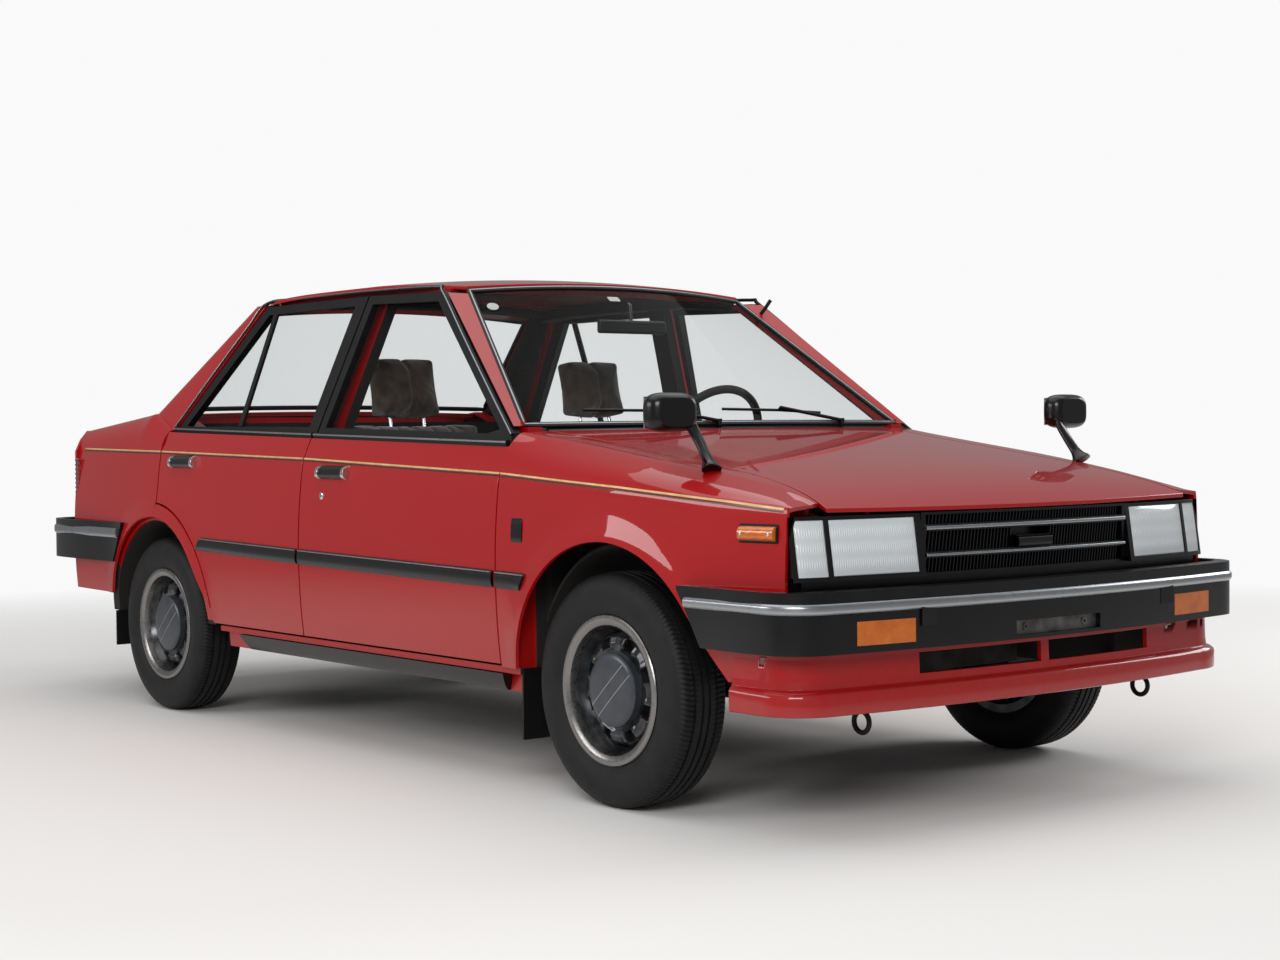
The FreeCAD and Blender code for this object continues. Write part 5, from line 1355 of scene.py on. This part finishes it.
class SEDAN_OT_side_trim(SedanOperator, bpy.types.Operator):
    """Build the mouldings, pinstripes, belt and drip trims, sills, handles, badges and markers"""

    bl_idname = "sedan.side_trim"
    bl_label = "Side trim"

    def execute(self, context):
        sizes = context.scene.sedan_sizes
        proud = sizes.moulding_proud
        stripe = lambda y: np.interp(y, STRIPE_Y, STRIPE_Z)
        panels = {"fender": fender_skin(), "quarter": quarter_skin()}
        for name, side in SIDES:
            rear_end = (
                ("rear", 1440.0, 2047.0, (0.0, 33.0)),
                ("front", 434.0, 1427.0, (0.0, 0.0)),
                ("root", 287.0, 419.0, (27.0, 0.0)),
            )
            for which, y0, y1, slant in rear_end:
                body = door_body(which, name)
                label = "fender" if which == "root" else f"{which}_door"
                lower = skin_strip(y0, y1, moulding_low, moulding_high, proud, 40, slant)
                build(f"{label}_moulding_{name}", pick(lower, side), FINISH["trim"], body, (), 0.6)
                top = lambda y: moulding_high(y) - 7.0
                bright = skin_strip(y0 + 3, y1 - 3, top, lambda y: top(y) + 4.5, proud + 0.4, 40, (0, 0), 6.0)
                build(f"{label}_moulding_edge_{name}", pick(bright, side), FINISH["silver"], body)
            runs = RUNS + (("quarter", "root", 2380.0, 3030.0),)
            for label, which, y0, y1 in runs:
                body = door_body(which, name)
                panel = panels.get(label)
                gold_low, gold_high = lambda y: stripe(y) - 1.0, lambda y: stripe(y) - 1.0 + sizes.stripe_width
                gold = skin_strip(y0, y1, gold_low, gold_high, 0.8, 50, (0, 0), 8.0, 1.0, panel)
                build(f"{label}_gold_stripe_{name}", pick(gold, side), FINISH["gold"], body)
                black_low, black_high = lambda y: stripe(y) - 7.0, lambda y: stripe(y) - 3.0
                black = skin_strip(y0, y1, black_low, black_high, 0.8, 50, (0, 0), 8.0, 1.0, panel)
                build(f"{label}_black_stripe_{name}", pick(black, side), FINISH["black_tape"], body)
            for which, y0, y1 in (("front", 440.0, 1427.0), ("rear", 1439.0, 2366.0)):
                y = np.linspace(y0, y1, 40)
                z = belt_z(y) + 7.0
                path = stack(cabin_x(y, z) + 4.0, y, z)
                body = door_body(which, name)
                rail = sweep(path, rounded_profile(13.0, 18.0, 3.0, 3))
                build(f"{which}_belt_moulding_{name}", pick(rail, side), FINISH["rubber"], body)
                line = sweep(path + (7.0, 0.0, 4.0), rounded_profile(3.0, 5.0, 1.2, 3))
                build(f"{which}_belt_bright_{name}", pick(line, side), FINISH["silver"], body)
            corner = [(434, 902), (600, 1028), (780, 1166), (955, 1302), (1000, 1319), (1356, 1327), (1800, 1328)]
            corner += [(1992, 1322), (2070, 1250), (2230, 1086), (2384, 922)]
            yz = through(corner, 120)
            path = stack(cabin_x(yz[:, 0], yz[:, 1]) + 1.0, yz[:, 0], yz[:, 1])
            drip = sweep(path, rounded_profile(10.0, 9.0, 3.0, 3), (1.0, 0.0, 0.3))
            build(f"drip_rail_{name}", pick(drip, side), FINISH["rubber"], "root")
            bright = sweep(path + (5.5, 0.0, 1.5), rounded_profile(4.0, 4.5, 1.6, 3), (1.0, 0.0, 0.3))
            build(f"drip_rail_bright_{name}", pick(bright, side), FINISH["silver"], "root")
            y = np.linspace(424.0, 1842.0, 60)[:, None]
            v = np.linspace(0.0, 1.0, 8)[None, :]
            z = blend_line(243.5, 291.0, v)
            lean = (y - 1133.0) / 709.0
            yy = y + lean * (v - 1.0) * 22.0
            sill = stack(744.0 + 34.0 * v**0.7 + 0 * yy, yy, z)
            sill = pick(shell(sill, sill - (24.0, 0.0, 0.0)), side)
            build(f"black_sill_{name}", sill, FINISH["trim"], "root", (), 1.0)
            for which, y0, y1, zc in (("front", 1176.0, 1322.0, 797.0), ("rear", 2120.0, 2275.0, 821.0)):
                body = door_body(which, name)
                pull = skin_strip(y0, y1, lambda y: zc - 20.0 + 0 * y, lambda y: zc + 20.0 + 0 * y, 17.0, 30, (0, 0), 3.0)
                build(f"{which}_handle_{name}", pick(pull, side), FINISH["trim"], body, (), 2.0)
                caps = [
                    skin_strip(a, a + 15.0, lambda y: zc - 21.5 + 0 * y, lambda y: zc + 21.5 + 0 * y, 19.0, 8, (0, 0), 3.0)
                    for a in (y0 - 6.0, y1 - 9.0)
                ]
                build(f"{which}_handle_caps_{name}", pick(joined(caps), side), FINISH["chrome"], body, (), 1.5)
            x = float(side_x(1306.0, 729.0))
            lock = revolve([(x - 2, 11), (x + 2.5, 10.5), (x + 4, 8), (x + 4, 0.4), (x - 2, 0.4)], (0, 1306.0, 729.0), 32)
            build(f"door_lock_{name}", pick(lock, side), FINISH["chrome"], door_body("front", name))
            badge = skin_strip(309.0, 355.0, lambda y: 630.0 + 0 * y, lambda y: 692.0 + 0 * y, 3.0, 6, (0, 0), 8.0)
            build(f"fender_badge_{name}", pick(badge, side), FINISH["trim"], "root", (), 1.0)
            base = skin_strip(-577.0, -467.0, lambda y: 658.0 + 0 * y, lambda y: 702.0 + 0 * y, 5.0, 10, (0, 0), 6.0)
            build(f"marker_base_{name}", pick(base, side), FINISH["rubber"], "root", (), 1.5)
            marker = skin_strip(-573.0, -471.0, lambda y: 662.0 + 0 * y, lambda y: 698.0 + 0 * y, 15.0, 10, (0, 0), 4.0)
            build(f"side_marker_{name}", pick(marker, side), FINISH["amber"], "root", (), 2.5)
            screws = []
            for y in (-562.0, -482.0):
                xs = float(side_x(y, 680.0)) + 14.0
                screws.append(revolve([(xs, 5), (xs + 3, 4.4), (xs + 4, 2), (xs + 4, 0.3), (xs, 0.3)], (0, y, 680.0), 16))
            build(f"marker_screws_{name}", pick(joined(screws), side), FINISH["chrome"], "root")
        return {"FINISHED"}


class SEDAN_OT_nose(SedanOperator, bpy.types.Operator):
    """Build the headlamps, corner lamps, grille fins and bars, and the bumper strips"""

    bl_idname = "sedan.nose"
    bl_label = "Nose and bumpers"

    def execute(self, context):
        black, silver = FINISH["trim"], FINISH["silver"]
        lamp = both(lamp_part(384.0, 628.0, 584.0, 709.0, 1.0, 30.0, 5.0))
        build("headlamp_lenses", lamp, FINISH["lamp"], "root", ["headlamps"], 2.0)
        corner = both(lamp_part(640.0, 716.0, 584.0, 709.0, 0.0, 24.0, 2.0))
        build("corner_lenses", corner, FINISH["lamp"], "root", (), 2.0)
        back = both(lamp_part(367.0, 727.0, 573.6, 717.0, -12.0, 40.0))
        build("headlamp_housings", back, black, "root")
        bars = []
        for z0, z1 in ((573.6, 584.0), (709.0, 717.0)):
            bars.append(lamp_part(367.0, 727.0, z0, z1, 3.0, 30.0))
        for x0, x1 in ((367.0, 384.0), (628.0, 640.0), (716.0, 727.0)):
            bars.append(lamp_part(x0, x1, 573.6, 717.0, 3.5, 30.0))
        build("headlamp_frames", both(joined(bars)), black, "root", (), 1.5)
        build("grille_fins", grille_fins(), black, "root")
        bright = joined([nose_bar(-356.0, 356.0, z0, z1, 9.0) for z0, z1 in ((615.0, 625.0), (676.0, 688.0))])
        build("grille_bars", bright, silver, "root", (), 1.0)
        build("grille_block", nose_bar(-60.0, 60.0, 625.0, 655.0, 12.0), black, "root", (), 2.0)
        plan = wrap_plan(-750.0, 1.0e-4, 690.0, 112.0, 805.0, -335.0, -1)
        build("front_bumper_strip", wrap_strip(plan, 508.0, 532.0, 6.0, 3.0), silver, "root")
        plan = wrap_plan(3290.0, 1.0e-4, 690.0, 115.0, 805.0, 2650.0, 1)
        build("rear_bumper_strip", wrap_strip(plan, 562.0, 594.0, 6.0, 3.0), silver, "root")
        build("front_valance_skin", valance_parts(), FINISH["paint"], "root", ["front_valance"], 0.8, 40.0)
        for name, side in SIDES:
            head = build(f"mirror_head_{name}", pick(mirror_head(), side), black, "root")
            build(f"mirror_arm_{name}", pick(mirror_arm(), side), black, "root")
            pane = block((650.0, -155.5, 914.0), (772.0, -152.0, 990.0))
            build(f"mirror_glass_{name}", pick(pane, side), FINISH["chrome"], "root", (), 1.2)
            if name == "left":
                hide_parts("fender_mirrors")
        bolts = []
        for x in (-105.0, 105.0):
            p, f = ring_part([(-4, 9), (0, 9), (0, 4.2), (-4, 4.2)], 0.0, 0.0, 1.0, 24)
            p = np.asarray(p) - (0, 0, 285.0)
            bolts.append((np.stack([x + p[:, 1], -737.0 - p[:, 0], 446.0 + p[:, 2]], 1), f))
        build("plate_washers", joined(bolts), FINISH["steel"], "root")
        return {"FINISHED"}


class SEDAN_OT_tail(SedanOperator, bpy.types.Operator):
    """Build the tail trim: lamp ribs, lid lock and finisher"""

    bl_idname = "sedan.tail"
    bl_label = "Tail"

    def execute(self, context):
        ribs = []
        for z in np.arange(676.0, 822.0, 16.0):
            x = np.linspace(446.0, 735.0, 30)
            path = np.stack([x, tail_face(x, 700.0) + 0.6, np.full_like(x, z)], 1)
            path = np.concatenate([path, [(748.0, 3094.0, z), (757.6, 3084.0, z), (758.2, 3060.0, z)]])
            ribs.append(sweep(path, rounded_profile(4.0, 7.0, 1.8, 3)))
        build("tail_lamp_ribs", both(joined(ribs)), FINISH["red"], "root")
        lines = []
        for z in (662.0, 827.0):
            x = np.linspace(-700.0, 700.0, 60)
            path = np.stack([x, tail_face(x, 700.0) + 2.0, np.full_like(x, z)], 1)
            lines.append(sweep(path, rounded_profile(4.0, 5.0, 1.5, 3)))
        build("tail_bright_lines", joined(lines), FINISH["silver"], "root")
        lock = revolve([(0, 12), (4, 11), (5, 8), (5, 0.4), (0, 0.4)], (0.0, 0.0, 0.0), 32)
        points = np.asarray(lock[0])
        points = np.stack([points[:, 1], 3141.0 + points[:, 0], 880.0 + points[:, 2]], 1)
        build("lid_lock", (points, lock[1]), FINISH["chrome"], "trunk_lid")
        return {"FINISHED"}


class SEDAN_OT_wheels(SedanOperator, bpy.types.Operator):
    """Build the four tyres, rims, trim rings and hub caps"""

    bl_idname = "sedan.wheels"
    bl_label = "Wheels"

    def execute(self, context):
        lines = context.scene.sedan_sizes.cap_line_count
        for name, side in SIDES:
            for end, track, y in (("front", 1395.0, 0.0), ("rear", 1375.0, 2400.0)):
                x, body = side * track / 2, f"{end}_{name}_wheel"
                tag = f"{end}_{name}"
                build(f"tyre_{tag}", tyre_part(x, y), FINISH["tyre"], body, [f"{end}_tyre_{name}"], 0.0, 40.0)
                shape, rim = wheel_disc(x, y, side), [f"{end}_rim_{name}"]
                build(f"wheel_disc_{tag}", shape, FINISH["wheel"], body, rim, 0.0, 50.0)
                build(f"wheel_well_{tag}", ring_part(RIM_SECTION, x, y, side), FINISH["wheel"], body)
                build(f"trim_ring_{tag}", ring_part(RING_SECTION, x, y, side), FINISH["ring"], body)
                build(f"hub_cap_{tag}", ring_part(CAP_SECTION, x, y, side, 96), FINISH["cap"], body, (), 0.8)
                # painted shade: black sheets in the wheel vents stand in for the shade behind them
                build(f"vent_shade_sheets_{tag}", vent_shade_sheets(x, y, side), FINISH["rubber"], body)
                offsets = np.linspace(-17.0, 17.0, lines) if lines > 1 else [0.0] * lines
                if lines:
                    stripes = joined([cap_line(x, y, side, o) for o in offsets])
                    build(f"cap_lines_{tag}", stripes, FINISH["silver"], body)
        return {"FINISHED"}


class SEDAN_OT_cabin(SedanOperator, bpy.types.Operator):
    """Build the padded seats by cloth pressure, and the small cabin pieces"""

    bl_idname = "sedan.cabin"
    bl_label = "Cabin"

    def execute(self, context):
        for label, shape, half, cap, spacing, grooved in FRONT_PADS:
            block_shape = pad_block(shape, SEAT_CENTRE - half, SEAT_CENTRE + half, PAD_ROOM)
            pad = build(f"front_{label}_left", block_shape, FINISH["velour"], "root")
            puff(pad, cap)
            channel(pad, spacing, 5.0, SEAT_CENTRE, grooved)
            twin = pad.copy()
            twin.data = pad.data.copy()
            twin.name = f"front_{label}_right"
            co = np.empty(len(twin.data.vertices) * 3, np.float32)
            twin.data.vertices.foreach_get("co", co)
            co = co.reshape(-1, 3) * (-1.0, 1.0, 1.0)
            twin.data.vertices.foreach_set("co", co.astype(np.float32).ravel())
            twin.data.flip_normals()
            bpy.context.scene.collection.objects.link(twin)
            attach(twin, "root")
        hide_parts("front_seats")
        for label, shape, half, cap, spacing, grooved in REAR_PADS:
            pad = build(label, pad_block(shape, -half, half, PAD_ROOM), FINISH["velour"], "root")
            puff(pad, cap)
            channel(pad, spacing, 5.0, 0.0, grooved)
            if label == "rear_cushion":
                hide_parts("rear_seat")
        posts = []
        for centre in (-365.0, 365.0):
            for x in (-60.0, 60.0):
                path = [(centre + x, 1506.0, 915.0), (centre + x, 1514.0, 945.0), (centre + x, 1524.0, 985.0)]
                posts.append(sweep(path, rounded_profile(11.0, 11.0, 5.4, 4), (1.0, 0.0, 0.0)))
        build("headrest_posts", joined(posts), FINISH["chrome"], "root")
        return {"FINISHED"}


class SEDAN_OT_stage(SedanOperator, bpy.types.Operator):
    """Set up the floor, the lights, the background and the camera"""

    bl_idname = "sedan.stage"
    bl_label = "Stage"

    def execute(self, context):
        scene = context.scene
        mesh = bpy.data.meshes.new("floor")
        mesh.from_pydata([(-30, -30, 0), (30, -30, 0), (30, 30, 0), (-30, 30, 0)], [], [(0, 1, 2, 3)])
        floor = bpy.data.objects.new("floor", mesh)
        scene.collection.objects.link(floor)
        made, tree, skin, place, out = finish("plain pale floor", Base_Color=linear("#EDEBE8"), Roughness=0.8)
        ground = add(tree, "ShaderNodeVectorMath", {"operation": "LENGTH"}, i0=place)
        fade = add(tree, "ShaderNodeMapRange", Value=ground.outputs["Value"], From_Min=2.6, From_Max=6.5)
        clear = add(tree, "ShaderNodeBsdfTransparent")
        cover = add(tree, "ShaderNodeMixShader", i0=fade.outputs[0], i1=skin.outputs[0], i2=clear.outputs[0])
        tree.links.new(cover.outputs[0], out.inputs[0])
        mesh.materials.append(made)
        world = bpy.data.worlds.new("studio")
        scene.world = world
        world.use_nodes = True
        tree = world.node_tree
        tree.nodes.clear()
        path = add(tree, "ShaderNodeLightPath")
        straight, bent = path.outputs["Is Camera Ray"], path.outputs["Is Transmission Ray"]
        seen = add(tree, "ShaderNodeMath", {"operation": "MAXIMUM"}, i0=straight, i1=bent)
        soft = add(tree, "ShaderNodeBackground", Color=linear("#F4F5F7"), Strength=0.30)
        white = add(tree, "ShaderNodeBackground", Color=linear("#FFFFFF"), Strength=0.95)
        mix = add(tree, "ShaderNodeMixShader", i0=seen.outputs[0], i1=soft.outputs[0], i2=white.outputs[0])
        add(tree, "ShaderNodeOutputWorld", Surface=mix.outputs[0])
        lamps = (
            ("overhead", (0.0, 0.0, 5.4), (0.0, 0.0, 0.0), 9.0, 6.0, 210.0),
            ("front left", (-5.0, -5.5, 3.4), (0.0, -0.6, 0.6), 3.0, 2.0, 210.0),
            ("far side", (5.5, -2.0, 3.0), (0.0, 0.0, 0.6), 3.0, 2.0, 110.0),
            ("near side", (-6.5, 2.5, 2.6), (0.0, 0.4, 0.6), 4.0, 1.6, 110.0),
        )
        for name, place, aim, width, height, power in lamps:
            data = bpy.data.lights.new(name, "AREA")
            data.shape, data.size, data.size_y, data.energy = "RECTANGLE", width, height, power
            lamp = bpy.data.objects.new(name, data)
            scene.collection.objects.link(lamp)
            lamp.location = place
            lamp.rotation_euler = (Vector(aim) - Vector(place)).to_track_quat("-Z", "Y").to_euler()
        view = bpy.data.cameras.new("camera")
        view.lens, view.sensor_width = 58.71, 36.0
        view.clip_end = 100.0
        camera = bpy.data.objects.new("camera", view)
        scene.collection.objects.link(camera)
        camera.location = (-3.8358, -5.2255, 0.9140)
        turn, lift = math.radians(CAMERA_TURN), math.radians(CAMERA_LIFT)
        ahead = Vector((math.cos(lift) * math.sin(turn), math.cos(lift) * math.cos(turn), math.sin(lift)))
        aim = ahead.to_track_quat("-Z", "Y")
        camera.rotation_euler = (aim @ Quaternion((0, 0, 1), math.radians(CAMERA_ROLL))).to_euler()
        scene.camera = camera
        scene.view_settings.view_transform = "Standard"
        return {"FINISHED"}


CAMERA_TURN = 38.747
CAMERA_LIFT = -1.405
CAMERA_ROLL = -0.513

OPERATORS = (
    SEDAN_OT_finishes,
    SEDAN_OT_panels,
    SEDAN_OT_doors,
    SEDAN_OT_glass,
    SEDAN_OT_side_trim,
    SEDAN_OT_nose,
    SEDAN_OT_tail,
    SEDAN_OT_wheels,
    SEDAN_OT_cabin,
    SEDAN_OT_stage,
)


class SEDAN_PT_panel(bpy.types.Panel):
    """Lists the pieces of the sedan"""

    bl_label = "Sedan"
    bl_idname = "SEDAN_PT_panel"
    bl_space_type = "VIEW_3D"
    bl_region_type = "UI"
    bl_category = "Sedan"

    def draw(self, context):
        layout = self.layout
        layout.prop(context.scene.sedan_colours, "paint")
        layout.prop(context.scene.sedan_colours, "faded")
        for key in ("moulding_proud", "stripe_width", "cap_line_count"):
            layout.prop(context.scene.sedan_sizes, key)
        for operator in OPERATORS:
            layout.operator(operator.bl_idname)


CLASSES = (SedanColours, SedanSizes) + OPERATORS + (SEDAN_PT_panel,)


def register():
    for cls in CLASSES:
        bpy.utils.register_class(cls)
    bpy.types.Scene.sedan_colours = PointerProperty(type=SedanColours)
    bpy.types.Scene.sedan_sizes = PointerProperty(type=SedanSizes)


def unregister():
    del bpy.types.Scene.sedan_sizes
    del bpy.types.Scene.sedan_colours
    for cls in reversed(CLASSES):
        bpy.utils.unregister_class(cls)


def main():
    register()
    for operator in OPERATORS:
        group, name = operator.bl_idname.split(".")
        getattr(getattr(bpy.ops, group), name)()
    bpy.context.view_layer.update()


if __name__ == "__main__":
    main()
